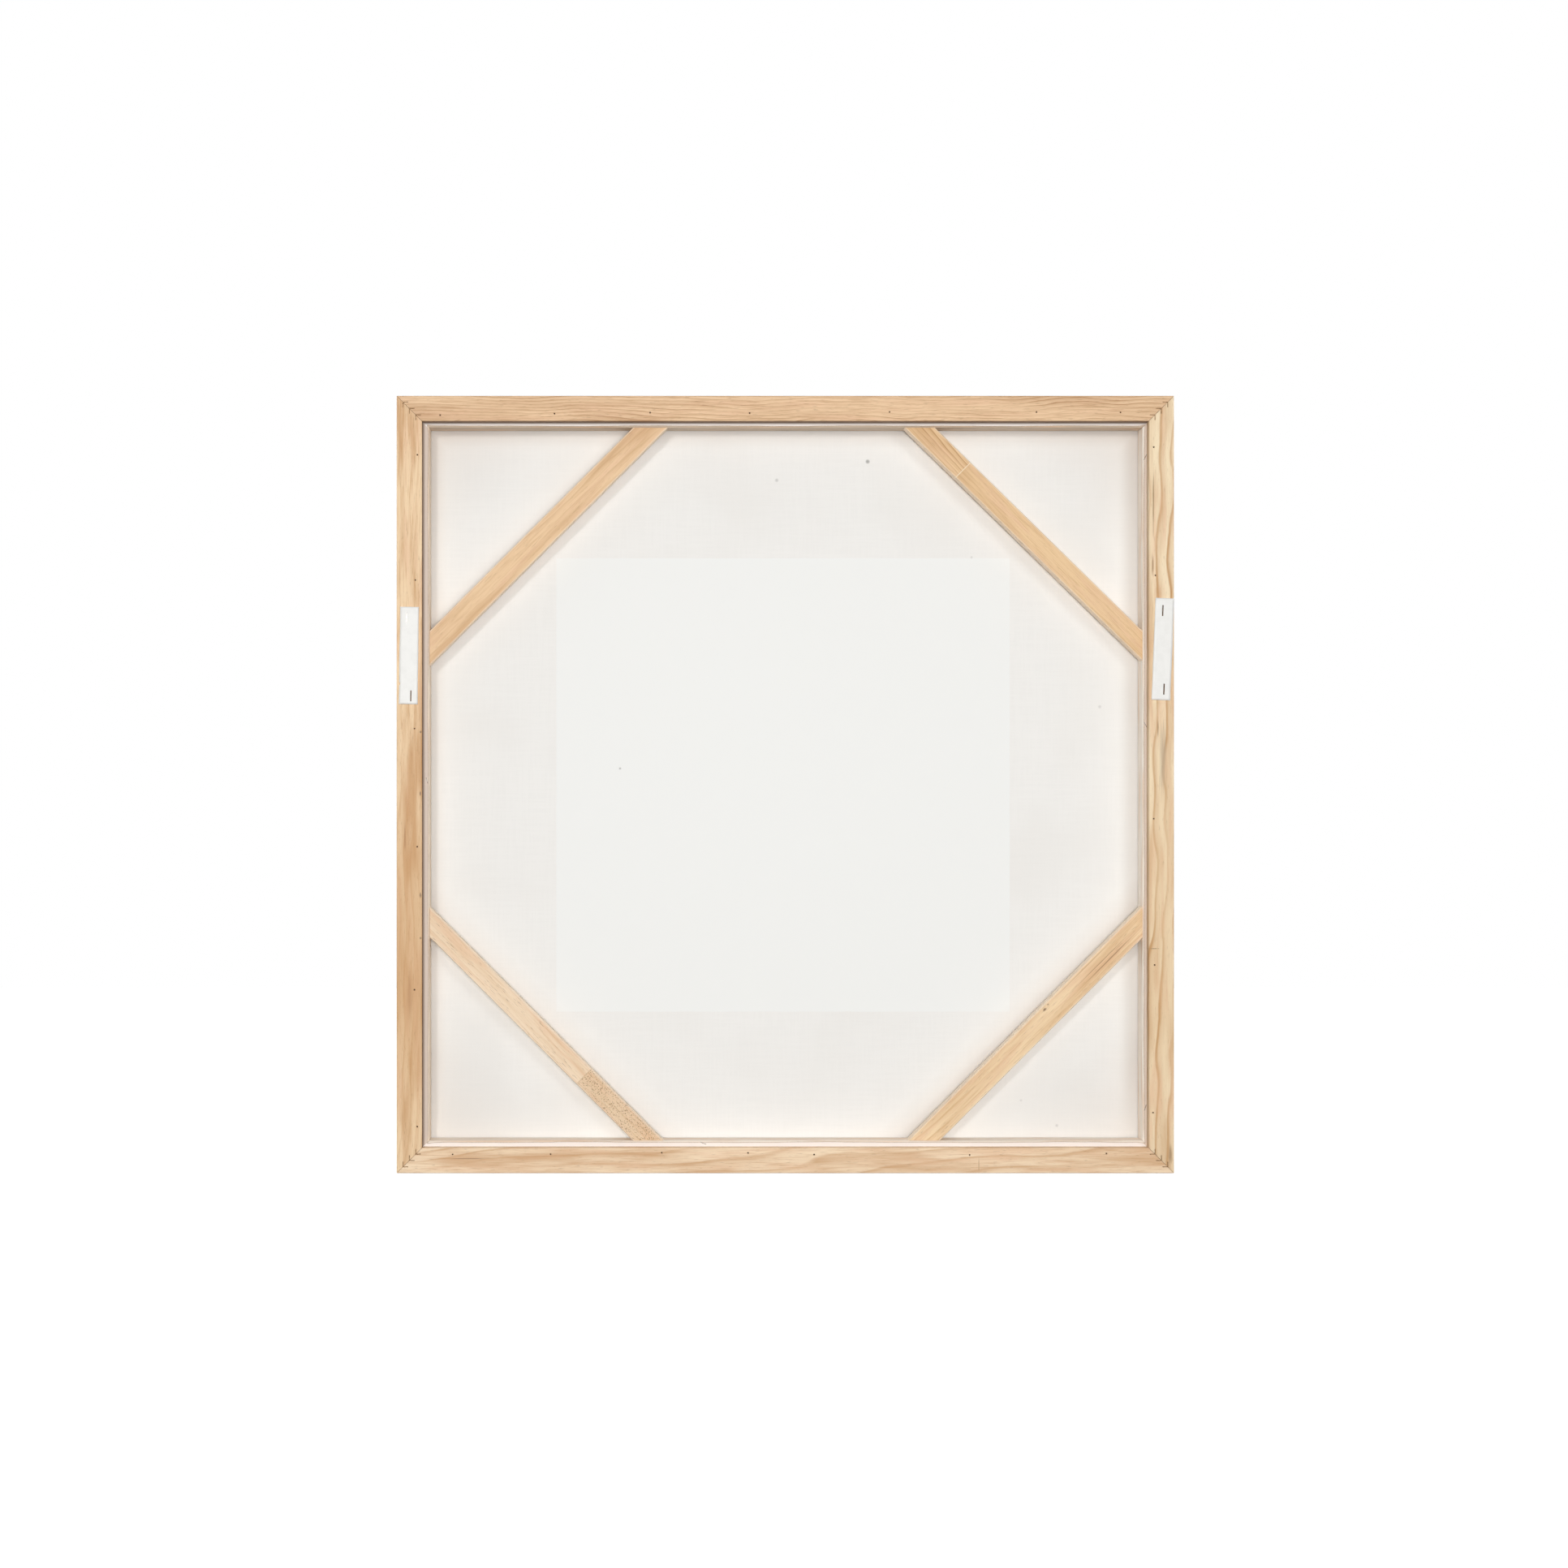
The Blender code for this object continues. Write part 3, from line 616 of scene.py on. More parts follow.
# Each side of the cloth as it is walked round: its run and its outward direction
WALK = {
    "bottom": (Vector((1, 0, 0)), Vector((0, 0, -1))),
    "right": (Vector((0, 0, 1)), Vector((1, 0, 0))),
    "top": (Vector((-1, 0, 0)), Vector((0, 0, 1))),
    "left": (Vector((0, 0, -1)), Vector((-1, 0, 0))),
}
CORNER_PLACES = [distance * MM for distance in (0, 1.2, 2.4, 4, 6, 9, 13, 18, 24, 31)]
PLACE_SPACING = 12 * MM
# The last two shares bound the strip of bare threads along the cut edge, painted darker also as shade under
# the lifted edge
TURN_SHARES = (0.2, 0.4, 0.6, 0.78, 0.86, 0.93, 0.972, 1.0)
# From this share on, the turned-in cloth is clear of the ledge and may lift
FREE_SHARE = 0.78
# The lift of the cut edge: its mean, its swing about that and where the swing starts
LIFT_MEAN = 0.6
LIFT_SWING = 0.4
LIFT_PHASE = 1.9
FOLD_STEPS = 4
SIDE_STEPS = 7
PLEAT_RAMP = 3 * MM
CUSP_START = 6 * MM


def side_places(half):
    """Places along one side from corner to corner, close together near the corners."""
    start = CORNER_PLACES[-1]
    count = round((half - start) / PLACE_SPACING)
    step = (half - start) / count
    distances = [*CORNER_PLACES, *(start + step * number for number in range(1, count + 1))]
    left = [distance - half for distance in distances]
    return [*left, *(-place for place in reversed(left[:-1]))]


def fold_arc(centre, radius, start, stop):
    """Points of a rounded fold as pairs of half width and depth, ends left out."""
    turns = [start + (stop - start) * number / FOLD_STEPS for number in range(1, FOLD_STEPS)]
    return [(centre[0] + radius * math.cos(turn), centre[1] + radius * math.sin(turn)) for turn in turns]


class TrimmedEdge:
    """The knife-cut edge of one side's turned-in cloth: how it wanders and lifts along its run."""
    lengths = (0.31, 0.12, 0.047)
    weights = (0.5, 0.3, 0.2)
    stretch = (0.7, 1.3)

    def __init__(self, seed, cloth):
        draw = random.Random(seed)
        self.cloth = cloth
        self.waves = []
        for length in self.lengths:
            drawn_length = draw.uniform(*self.stretch) * length
            self.waves.append((drawn_length, draw.uniform(0, 2 * math.pi)))

    def swing(self, place, offset):
        """A smooth wander between about -1 and 1 along the side."""
        return sum(
            weight * math.sin(2 * math.pi * place / length + phase + offset)
            for weight, (length, phase) in zip(self.weights, self.waves)
        )

    def half_width(self, place):
        """Distance from the middle to the cut edge, which is nicked back at the corners."""
        from_corner = CLOTH_HALF - abs(place)
        nick = self.cloth.corner_nick * math.exp(-((from_corner / self.cloth.corner_reach) ** 2))
        return FRAME_HALF - self.cloth.trim_inset + nick + self.cloth.trim_wander * self.swing(place, 0.0)

    def lift(self, place, share):
        """How far the cloth stands off the bar, near its cut edge only."""
        free = max(0.0, (share - FREE_SHARE) / (1 - FREE_SHARE))
        return free * free * self.cloth.trim_lift * (LIFT_MEAN + LIFT_SWING * self.swing(place, LIFT_PHASE))


def pleat_height(side, place, depth, cloth):
    """The doubled cloth of a folded corner, on the upright sides only, widest at the back."""
    if side in ("bottom", "top"):
        return 0.0
    share = (CLOTH_HIGH.y - depth) / (CLOTH_HIGH.y - CLOTH_LOW.y)
    from_corner = CLOTH_HALF - abs(place)
    return cloth.thickness * min(1.0, max(0.0, (cloth.pleat_width * share - from_corner) / PLEAT_RAMP))


def canvas_mesh(cloth):
    """One sheet over the face, the sides and the backs of the bars, built ring by ring."""
    fold = cloth.fold_radius
    front = CLOTH_HIGH.y
    back = CLOTH_LOW.y
    places = side_places(CLOTH_HALF)
    count = len(places) - 1
    shrink = (CLOTH_HALF - fold) / CLOTH_HALF
    verts = []
    faces = []

    # The face is a grid that dips a little at each hidden fixing
    for up in places:
        for across in places:
            edge = CLOTH_HALF - max(abs(across), abs(up))
            along = up if abs(across) > abs(up) else across
            dip = cloth.cusp_depth * (0.5 + 0.5 * math.cos(2 * math.pi * along / cloth.cusp_spacing))
            depth = front - dip * math.exp(-edge / cloth.cusp_reach) * min(1.0, edge / CUSP_START)
            verts.append((CLOTH_MIDDLE.x + across * shrink, depth, CLOTH_MIDDLE.z + up * shrink))
    row = count + 1
    for up in range(count):
        for across in range(count):
            corner = up * row + across
            faces.append((corner, corner + 1, corner + row + 1, corner + row))
    ring = list(range(count))
    ring += [up * row + count for up in range(count)]
    ring += [count * row + across for across in range(count, 0, -1)]
    ring += [up * row for up in range(count, 0, -1)]

    # Stations round the front fold, down the side and round the back fold
    stations = fold_arc((CLOTH_HALF - fold, front - fold), fold, math.pi / 2, 0.0)
    for number in range(SIDE_STEPS + 1):
        stations.append((CLOTH_HALF, front - fold + (back - front + 2 * fold) * number / SIDE_STEPS))
    stations += fold_arc((CLOTH_HALF - fold, back + fold), fold, 0.0, -math.pi / 2)
    stations.append((CLOTH_HALF - fold, back))
    edges = {side: TrimmedEdge(number + cloth.seed, cloth) for number, side in enumerate(SIDES)}

    def wrapped(half, depth, side, place):
        """Half width and depth of a point where the cloth lies round the bars."""
        return half + pleat_height(side, place, depth, cloth), depth

    def turned_in(share, side, place):
        """Half width and depth of a point on the turned-in strip."""
        start = CLOTH_HALF - fold
        half = start + (edges[side].half_width(place) - start) * share
        return half, back - edges[side].lift(place, share)

    rings = [partial(wrapped, half, depth) for half, depth in stations]
    rings += [partial(turned_in, share) for share in TURN_SHARES]
    for point_of in rings:
        fresh = []
        for side in SIDES:
            run, out = WALK[side]
            for place in places[:-1]:
                half, depth = point_of(side, place)
                point = CLOTH_MIDDLE + run * (place * half / CLOTH_HALF) + out * half
                fresh.append(len(verts))
                verts.append((point.x, depth, point.z))
        for number in range(len(ring)):
            after = (number + 1) % len(ring)
            faces.append((ring[number], fresh[number], fresh[after], ring[after]))
        ring = fresh

    shell = bmesh.new()
    corners = [shell.verts.new(vert) for vert in verts]
    for number, face in enumerate(faces, start=len(ring) - len(faces)):
        skin = shell.faces.new([corners[corner] for corner in face])
        skin.smooth = True
        skin.material_index = int(number >= 0)
    bmesh.ops.recalc_face_normals(shell, faces=shell.faces)
    shell.faces.ensure_lookup_table()
    if shell.faces[0].normal.y < 0:
        bmesh.ops.reverse_faces(shell, faces=shell.faces)
    return finished_mesh(shell, "canvas_cloth")


def finished_mesh(shell, name):
    """Turns a worked shape into a mesh."""
    mesh = bpy.data.meshes.new(name)
    shell.to_mesh(mesh)
    shell.free()
    return mesh


STRAP_ROWS = 48
STRAP_COLUMNS = 8
# How fast the cut edges waver along a strap, and how far one edge runs ahead of the other
WAVER_LENGTH = 11 * MM
WAVER_SLANT = 3
# Length, lean in degrees and place of the nick along each strap, as its solid has them
STRAPS = {"left": (0.1145, 0.8, -0.033), "right": (0.120, 2.26, None)}


def strap_mesh(name, strap, length, nick_at):
    """A strap along Z with its back at Y 0: bowed between its staples, with slightly wavy edges."""
    half_length = length / 2
    held = strap.staple_share
    shell = bmesh.new()
    grid = []
    for number in range(STRAP_ROWS + 1):
        along = -half_length + length * number / STRAP_ROWS
        share = abs(along) / half_length
        if share < held:
            bow = strap.bow * math.cos(math.pi / 2 * share / held) ** 2
        else:
            bow = strap.end_lift * ((share - held) / (1 - held)) ** 2
        line = []
        for column in range(STRAP_COLUMNS + 1):
            across = -0.5 + column / STRAP_COLUMNS
            at_edge = column in (0, STRAP_COLUMNS)
            wave = math.sin(along / WAVER_LENGTH + WAVER_SLANT * across)
            waver = strap.edge_waver * wave if at_edge else 0.0
            curl = strap.edge_curl * (2 * across) ** 4
            line.append(shell.verts.new((across * strap.width + waver, -bow - curl, along)))
        grid.append(line)
    if nick_at is not None:
        number = round((nick_at + half_length) / length * STRAP_ROWS)
        grid[number][0].co.x += strap.nick_depth
    for low, high in zip(grid, grid[1:]):
        for column in range(STRAP_COLUMNS):
            face = shell.faces.new((low[column], low[column + 1], high[column + 1], high[column]))
            face.smooth = True
    return finished_mesh(shell, name)


def swept_mesh(name, points, section, side):
    """A wire swept along points. The section's pairs run along the given side and square to it."""
    shell = bmesh.new()
    rings = []
    for number, point in enumerate(points):
        before = points[max(number - 1, 0)]
        after = points[min(number + 1, len(points) - 1)]
        ahead = (after - before).normalized()
        across = (side - ahead * side.dot(ahead)).normalized()
        square = ahead.cross(across)
        rings.append([shell.verts.new(point + across * a + square * b) for a, b in section])
    size = len(section)
    for low, high in zip(rings, rings[1:]):
        for number in range(size):
            after = (number + 1) % size
            shell.faces.new((low[number], low[after], high[after], high[number]))
    shell.faces.new(rings[0][::-1])
    shell.faces.new(rings[-1])
    bmesh.ops.recalc_face_normals(shell, faces=shell.faces)
    return finished_mesh(shell, name)


# Canvas staples that show beside the ledge: side, place along it, tilt in degrees
CANVAS_STAPLES = (
    ("right", 0.844, 24.0),
    ("right", 0.528, -28.0),
    ("right", 0.076, 16.0),
    ("left", 0.462, -14.0),
    ("bottom", -0.096, 20.0),
)
STAPLE_INSET = 20.4 * MM
STAPLE_BEND = 0.7 * MM
# How far the bend cuts its corner, as a share of its reach
BEND_CUT = 0.3
# Loose canvas threads that hang out from under the top ledge: place, lean in degrees, length
LOOSE_THREADS = (
    (0.0455, 38.0, 6.2 * MM),
    (0.2205, 46.0, 5.6 * MM),
    (0.2212, -20.0, 4.0 * MM),
)
THREAD_STEPS = 7
THREAD_TUCK = 1.2 * MM
THREAD_RISE = 1.6 * MM
THREAD_SIDES = 6
# How far a thread bows sideways, as a share of its length
THREAD_CURL = 0.12


def colour_property(name, description, code):
    """A colour that a user may change, given as an sRGB hex value."""
    return FloatVectorProperty(
        name=name, description=description, subtype="COLOR", size=4, min=0.0, max=1.0, default=linear(code),
    )


def length_property(name, description, metres):
    """A length that a user may change, in metres."""
    return FloatProperty(
        name=name, description=description, unit="LENGTH", min=0.0, default=metres, precision=5,
    )


def share_property(name, description, share):
    """A share between none and all that a user may change."""
    return FloatProperty(
        name=name, description=description, subtype="FACTOR", min=0.0, max=1.0, default=share,
    )


def power_property(name, description, watts):
    """The power of a lamp, in watts."""
    return FloatProperty(name=name, description=description, unit="POWER", min=0.0, default=watts)


def board_properties():
    """Early and late wood colours for every board."""
    properties = {}
    for key, (pale, dark) in BOARD_TONES.items():
        words = key.replace("_", " ")
        properties[key + "_pale"] = colour_property(words + " pale", "Early wood of the " + words, pale)
        properties[key + "_dark"] = colour_property(words + " dark", "Late wood of the " + words, dark)
    return properties


# Each soft box: where it stands, its power, its side and the words for its place
LAMPS = {
    "key": ((-0.05, -3.30, 0.43), 54.0, 0.8, "behind the camera"),
    "right": ((2.90, -5.00, 1.46), 52.0, 2.0, "right of the camera"),
    "upper": ((-1.70, -5.00, 1.85), 60.0, 0.8, "up to the left of the camera"),
    "left": ((-4.00, -1.00, 1.20), 11.0, 1.2, "that grazes from the left"),
    "overhead": ((0.00, -0.90, 4.20), 7.0, 1.2, "overhead"),
    "face": ((0.90, 5.75, 2.20), 255.0, 4.6, "on the face"),
    "left_side": ((-2.60, 0.90, 1.60), 40.0, 1.2, "beside the work, on the left"),
    "right_side": ((2.60, 0.90, 1.60), 40.0, 1.2, "beside the work, on the right"),
}


def lamp_properties():
    """Power and size for every soft box."""
    properties = {}
    for key, (_, power, size, words) in LAMPS.items():
        title = key.replace("_", " ").capitalize()
        properties[key + "_power"] = power_property(title + " power", "Power of the soft box " + words, power)
        properties[key + "_size"] = length_property(title + " box", "Side of the soft box " + words, size)
    return properties


class TimberSettings(bpy.types.PropertyGroup):
    """The pine boards."""
    __annotations__ = board_properties()
    shiver: length_property("Ring shiver", "How far a growth ring trembles along its run", 1.5 * MM)
    fibre_width: length_property("Fibre width", "Width of a fibre streak across the grain", 1.3 * MM)
    blush_strength: share_property("Blush", "How far patches of the early wood turn pink", 0.55)
    blush_colour: colour_property("Blush colour", "Pink tone of patches in the early wood", "E8BE98")
    fleck_colour: colour_property("Fleck colour", "Colour of resin flecks and glue lines", "8A6238")
    mitre_strength: share_property("Mitre line", "How clearly the mitre's hairline shows", 0.10)
    # The next four paint light on the braces: paler sides and a pale highlight along each long edge
    side_light_colour: colour_property("Side colour", "Pale sawn sides of the braces", "FBEAD4")
    side_light_strength: share_property("Sides", "How pale the sawn sides of the braces are", 0.75)
    arris_highlight_width: length_property("Arris width", "Width of the pale line along each edge of a brace", 2.2 * MM)
    arris_highlight_strength: share_property("Arris", "How pale the edges of the braces are", 0.75)
    # Painted shade on the ledge's inner edge
    ledge_shade_colour: colour_property("Sawn edge colour", "Colour of the sawn inner edge of the ledge", "5E3F25")
    relief: length_property("Relief", "Height of the raised grain", 0.3 * MM)


class ClothSettings(bpy.types.PropertyGroup):
    """The stretched canvas."""
    thickness: length_property("Thickness", "Thickness of the primed cloth", 0.6 * MM)
    fold_radius: length_property("Fold radius", "Outer radius of the folds round the bars", 1.2 * MM)
    trim_inset: length_property("Trim inset", "From the frame's outside to the cut edge", 34.4 * MM)
    trim_wander: length_property("Trim wander", "How far the cut edge strays", 0.6 * MM)
    trim_lift: length_property("Trim lift", "How far the cut edge stands off the bar", 0.4 * MM)
    corner_nick: length_property("Corner nick", "How far the cloth is cut back at the corners", 1.0 * MM)
    corner_reach: length_property("Corner reach", "How far along each side the corner cut runs", 6 * MM)
    pleat_width: length_property("Pleat width", "Width of the folded corner at the back", 26 * MM)
    cusp_depth: length_property("Cusp depth", "Dip of the face at each hidden fixing", 0.15 * MM)
    cusp_spacing: length_property("Cusp spacing", "Distance between the hidden fixings", 85 * MM)
    cusp_reach: length_property("Cusp reach", "How far the dips run in from the edge", 25 * MM)
    thread_spacing: length_property("Thread spacing", "Distance between neighbouring threads", 0.7 * MM)
    clean_square: length_property("Clean square", "Side of the cleaner square on the back", 0.541)
    blotch_size: length_property("Blotch size", "Size of the faint blotches in the primer", 0.14)
    blotch_strength: share_property("Blotch strength", "How clearly the blotches show", 0.5)
    pale: colour_property("Cloth", "Primed cloth", "F7F5F1")
    shade: colour_property("Slub shade", "Thicker threads of the cloth", "F5F3EF")
    blotch_colour: colour_property("Blotches", "Faint blotches in the primer", "F1EEE9")
    clean_colour: colour_property("Clean cloth", "Cleaner square on the back", "F8F8F5")
    speck_colour: colour_property("Specks", "Small marks on the back", "AAA8A4")
    turn_in_colour: colour_property("Turned-in cloth", "Strips along the top and the bottom", "F6EEE8")
    # The next settings paint shade on the back beside the bars, in the corners and above the lower braces,
    # all in one colour
    wall_shade_width: length_property("Soil width", "How far the back is soiled in from the bars", 22 * MM)
    wall_shade_strength: share_property("Soil", "How far the back is soiled beside the bars", 0.5)
    corner_shade_reach: length_property("Dull reach", "How far from the corners the back is duller", 0.16)
    corner_shade_strength: share_property("Dull corners", "How dull the back is in its corners", 0.45)
    brace_shade_width: length_property("Drift width", "How far dust spreads above the lower braces", 36 * MM)
    brace_shade_strength: share_property("Drift", "How thick the dust lies above the lower braces", 0.3)
    painted_shade_colour: colour_property("Soil colour", "Back of the cloth beside the bars", "D8D0C8")
    # The next three paint a shadow beside the ledge
    ledge_shadow_width: length_property("Dust width", "Width of the dusty line beside the ledge", 2.2 * MM)
    ledge_shadow_strength: share_property("Dust", "How dark the dusty line is at the ledge", 0.8)
    ledge_shadow_colour: colour_property("Dust colour", "Dust beside the ledge", "7D6554")
    # Unprimed cloth at the cut edge, darker also as painted shade under the lifted edge
    raw_colour: colour_property("Raw edge", "Unprimed cloth at the cut edge", "C0AA92")
    upright_colour: colour_property("Upright strips", "Strips along the two sides", "DFCEC0")
    seed: IntProperty(name="Seed", description="Picks the wander of the cut edges", default=11)


class StrapSettings(bpy.types.PropertyGroup):
    """The two hanging straps."""
    width: length_property("Width", "Width of the strap", 22 * MM)
    thickness: length_property("Thickness", "Thickness of the strap", 0.8 * MM)
    bow: length_property("Bow", "How far the strap stands off between its staples", 0.6 * MM)
    end_lift: length_property("End lift", "How far the free ends lift", 0.4 * MM)
    edge_curl: length_property("Edge curl", "How far the long edges curl up", 0.1 * MM)
    edge_waver: length_property("Edge waver", "How far the cut edges waver", 0.12 * MM)
    nick_depth: length_property("Nick depth", "Depth of the small nick in the left strap", 1.2 * MM)
    staple_share: share_property("Staple place", "Where the staples hold, as a share of half the length", 0.8)
    rib_spacing: length_property("Rib spacing", "Distance between the faint ribs", 1.1 * MM)
    mottle_size: length_property("Mottle size", "Size of the greyer patches", 7 * MM)
    pale: colour_property("Strap", "Strap", "F2F1ED")
    shade: colour_property("Strap shade", "Slightly greyer mottling", "EFEEEA")


class MetalSettings(bpy.types.PropertyGroup):
    """Brads, V-nails, staples and loose threads."""
    dark: colour_property("Dark steel", "Brads and the darker staples", "35271D")
    dark_stain: colour_property("Dark stain", "Stained patches of the dark steel", "573F2C")
    nail: colour_property("V-nail", "Oxidised edge of the V-nails", "9C7D5C")
    nail_stain: colour_property("V-nail stain", "Browner patches of the V-nails", "8A6A4B")
    bright: colour_property("Bright steel", "The brighter staple", "C4C3C0")
    bright_stain: colour_property("Bright stain", "Duller patches of the bright steel", "A9A6A1")
    crown: length_property("Crown", "Width of a canvas staple", 7 * MM)
    wire_width: length_property("Wire width", "Width of the flattened staple wire", 0.7 * MM)
    wire_thickness: length_property("Wire thickness", "Thickness of the staple wire", 0.5 * MM)
    leg: length_property("Leg", "Length of a canvas staple's legs", 6 * MM)
    thread_radius: length_property("Thread radius", "Radius of a loose canvas thread", 0.2 * MM)


class StageSettings(bpy.types.PropertyGroup):
    """Floor, light and camera."""
    __annotations__ = lamp_properties()
    floor_size: length_property("Floor size", "Side of the floor", 5.2)
    floor_colour: colour_property("Floor", "Pale floor as it lights the object", "6E6C6A")
    floor_shadow: share_property("Floor shadow", "How much of the shadow the white floor keeps", 0.30)
    sky_light: share_property("Light from above", "Strength of the room's light overhead", 0.10)
    low_light: share_property("Light from below", "Strength of the room's light underfoot", 0.08)
    camera_distance: length_property("Camera distance", "From the camera to the frame's back", 2.65)
    camera_left: length_property("Camera left", "How far left of the middle the camera stands", 0.19)
    camera_low: length_property("Camera low", "How far below the middle the camera stands", 0.02)
    view_width: length_property("View width", "Width seen at the frame's back", 1.844)


def pine_for(key, timber, **edges):
    """The pine of one board, from its cut and its two tones."""
    pale = getattr(timber, key + "_pale")
    dark = getattr(timber, key + "_dark")
    return pine_planed("pine planed " + key.replace("_", " "), BOARDS[key], pale, dark, timber, **edges)


class RailsOperator(bpy.types.Operator):
    """Gives each floater rail its own run of pine grain"""
    bl_idname = "picture.frame_rails"
    bl_label = "Frame rails"

    def execute(self, context):
        for side in SIDES:
            key = "rail_" + side
            dress(["frame_" + key], pine_for(key, context.scene.timber, mitred=True))
        return {"FINISHED"}


class BarsOperator(bpy.types.Operator):
    """Gives the stretcher bars their paler pine, toned side by side as painted light and shade"""
    bl_idname = "picture.stretcher_bars"
    bl_label = "Stretcher bars"

    def execute(self, context):
        for side in SIDES:
            key = "bar_" + side
            dress(["stretcher_" + key], pine_for(key, context.scene.timber))
        return {"FINISHED"}


class BracesOperator(bpy.types.Operator):
    """Gives each corner brace its own run of pine grain"""
    bl_idname = "picture.corner_braces"
    bl_label = "Corner braces"

    def execute(self, context):
        for corner in CORNERS:
            key = "brace_" + corner
            arrises = arrises_of("corner_" + key)
            dress(["corner_" + key], pine_for(key, context.scene.timber, arrises=arrises))
        return {"FINISHED"}


class CanvasOperator(bpy.types.Operator):
    """Stretches the canvas over the bars in place of its plain solid"""
    bl_idname = "picture.canvas"
    bl_label = "Canvas"

    def execute(self, context):
        cloth = context.scene.cloth
        material = cotton_duck_primed("cotton duck primed", cloth)
        piece = add_piece("canvas_cloth", canvas_mesh(cloth), material)
        skin = piece.modifiers.new("thickness", "SOLIDIFY")
        skin.thickness = cloth.thickness
        skin.offset = -1.0
        skin.use_even_offset = True
        skin.material_offset_rim = 1
        piece.data.materials.append(cotton_duck_raw("cotton duck raw", cloth))
        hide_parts("canvas")
        return {"FINISHED"}


class StrapsOperator(bpy.types.Operator):
    """Lays the two hanging straps over their plain solids"""
    bl_idname = "picture.hanging_straps"
    bl_label = "Hanging straps"

    def execute(self, context):
        strap = context.scene.strap
        material = polypropylene_extruded("polypropylene extruded", strap)
        for side, (length, lean, nick_at) in STRAPS.items():
            node = "hanging_strap_" + side
            low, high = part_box(node)
            middle = (low + high) / 2
            mesh = strap_mesh("strap_" + side, strap, length, nick_at)
            turn = Matrix.Rotation(math.radians(lean), 4, "Y")
            mesh.transform(Matrix.Translation((middle.x, high.y, middle.z)) @ turn)
            piece = add_piece("strap_" + side, mesh, material)
            skin = piece.modifiers.new("thickness", "SOLIDIFY")
            skin.thickness = strap.thickness
            skin.offset = 1.0
            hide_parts(node)
        return {"FINISHED"}


class FastenersOperator(bpy.types.Operator):
    """Gives brads, V-nails and strap staples their steel"""
    bl_idname = "picture.fasteners"
    bl_label = "Fasteners"

    def execute(self, context):
        metal = context.scene.metal
        dark = steel_wire("steel wire dark", metal.dark, metal.dark_stain, STEEL_ROUGHNESS["dark"])
        oxidised = STEEL_ROUGHNESS["oxidised"]
        nail = steel_wire("steel strip oxidised", metal.nail, metal.nail_stain, oxidised)
        shiny = STEEL_ROUGHNESS["bright"]
        bright = steel_wire("steel wire bright", metal.bright, metal.bright_stain, shiny)
        dress([name for name in NODES if name.startswith(("brad_", "strap_staple_"))], dark)
        dress([name for name in NODES if name.startswith("v_nail_")], nail)
        dress(["strap_staple_left_upper"], bright)
        return {"FINISHED"}


class CanvasStaplesOperator(bpy.types.Operator):
    """Sets the canvas staples that show beside the ledge"""
    bl_idname = "picture.canvas_staples"
    bl_label = "Canvas staples"

    def execute(self, context):
        metal = context.scene.metal
        roughness = STEEL_ROUGHNESS["staple"]
        material = steel_wire("steel wire staple", metal.bright_stain, metal.nail_stain, roughness)
        half_width = metal.wire_width / 2
        half_wire = metal.wire_thickness / 2
        signs = ((-1, -1), (1, -1), (1, 1), (-1, 1))
        section = [(wide * half_width, thick * half_wire) for wide, thick in signs]
        half = metal.crown / 2
        bend = STAPLE_BEND
        cut = bend * BEND_CUT
        one_side = [(half - bend, 0.0), (half - cut, cut), (half, bend), (half, metal.leg)]
        outline = [(-along, deep) for along, deep in reversed(one_side)] + one_side
        for number, (side, place, tilt) in enumerate(CANVAS_STAPLES):
            run, out = WALK[side]
            spot = CLOTH_MIDDLE + out * (CLOTH_HALF - STAPLE_INSET)
            spot[0 if side == "bottom" else 2] = place
            spot.y = CLOTH_LOW.y - half_wire
            lean = Matrix.Rotation(math.radians(tilt), 3, "Y") @ run
            points = [spot + lean * along + Vector((0.0, deep, 0.0)) for along, deep in outline]
            across = lean.cross(INWARD)
            name = f"canvas_staple_{number + 1}"
            add_piece(name, swept_mesh(name, points, section, across), material)
        return {"FINISHED"}


class ThreadsOperator(bpy.types.Operator):
    """Leaves a few loose canvas threads hanging from under the top ledge"""
    bl_idname = "picture.loose_threads"
    bl_label = "Loose threads"

    def execute(self, context):
        radius = context.scene.metal.thread_radius
        material = bpy.data.materials["cotton duck primed"]
        turns = [math.pi * number / (THREAD_SIDES / 2) for number in range(THREAD_SIDES)]
        section = [(radius * math.cos(turn), radius * math.sin(turn)) for turn in turns]
        start_height = FRAME_HALF + LEDGE_HALF + THREAD_TUCK
        for number, (place, lean, length) in enumerate(LOOSE_THREADS):
            slope = math.radians(lean)
            points = []
            for step in range(THREAD_STEPS + 1):
                share = step / THREAD_STEPS
                curl = THREAD_CURL * length * math.sin(math.pi * share)
                x = place + length * share * math.sin(slope) + curl
                y = CLOTH_LOW.y - radius - THREAD_RISE * share * share
                points.append(Vector((x, y, start_height - length * share * math.cos(slope))))
            name = f"loose_thread_{number + 1}"
            add_piece(name, swept_mesh(name, points, section, INWARD), material)
        return {"FINISHED"}


def white_seen(add):
    """One where a ray comes from the camera, a mirror or glass, and nought for light that only bounces."""
    path = add("LightPath").outputs
    direct = add("Math", path["Is Camera Ray"], path["Is Glossy Ray"], operation="MAXIMUM")
    return add("Math", direct, path["Is Transmission Ray"], operation="MAXIMUM")


IMAGE_WIDTH = 1932
# How far right of and below the middle of the image the frame's middle lies, as shares of its width
PHOTO_RIGHT = 1.7 / IMAGE_WIDTH
PHOTO_DOWN = 0.85 / IMAGE_WIDTH
SENSOR_WIDTH = 36.0
# Between which heights of the sky its light rises from the low level to the full one
HORIZON_SPAN = (-0.25, 0.6)


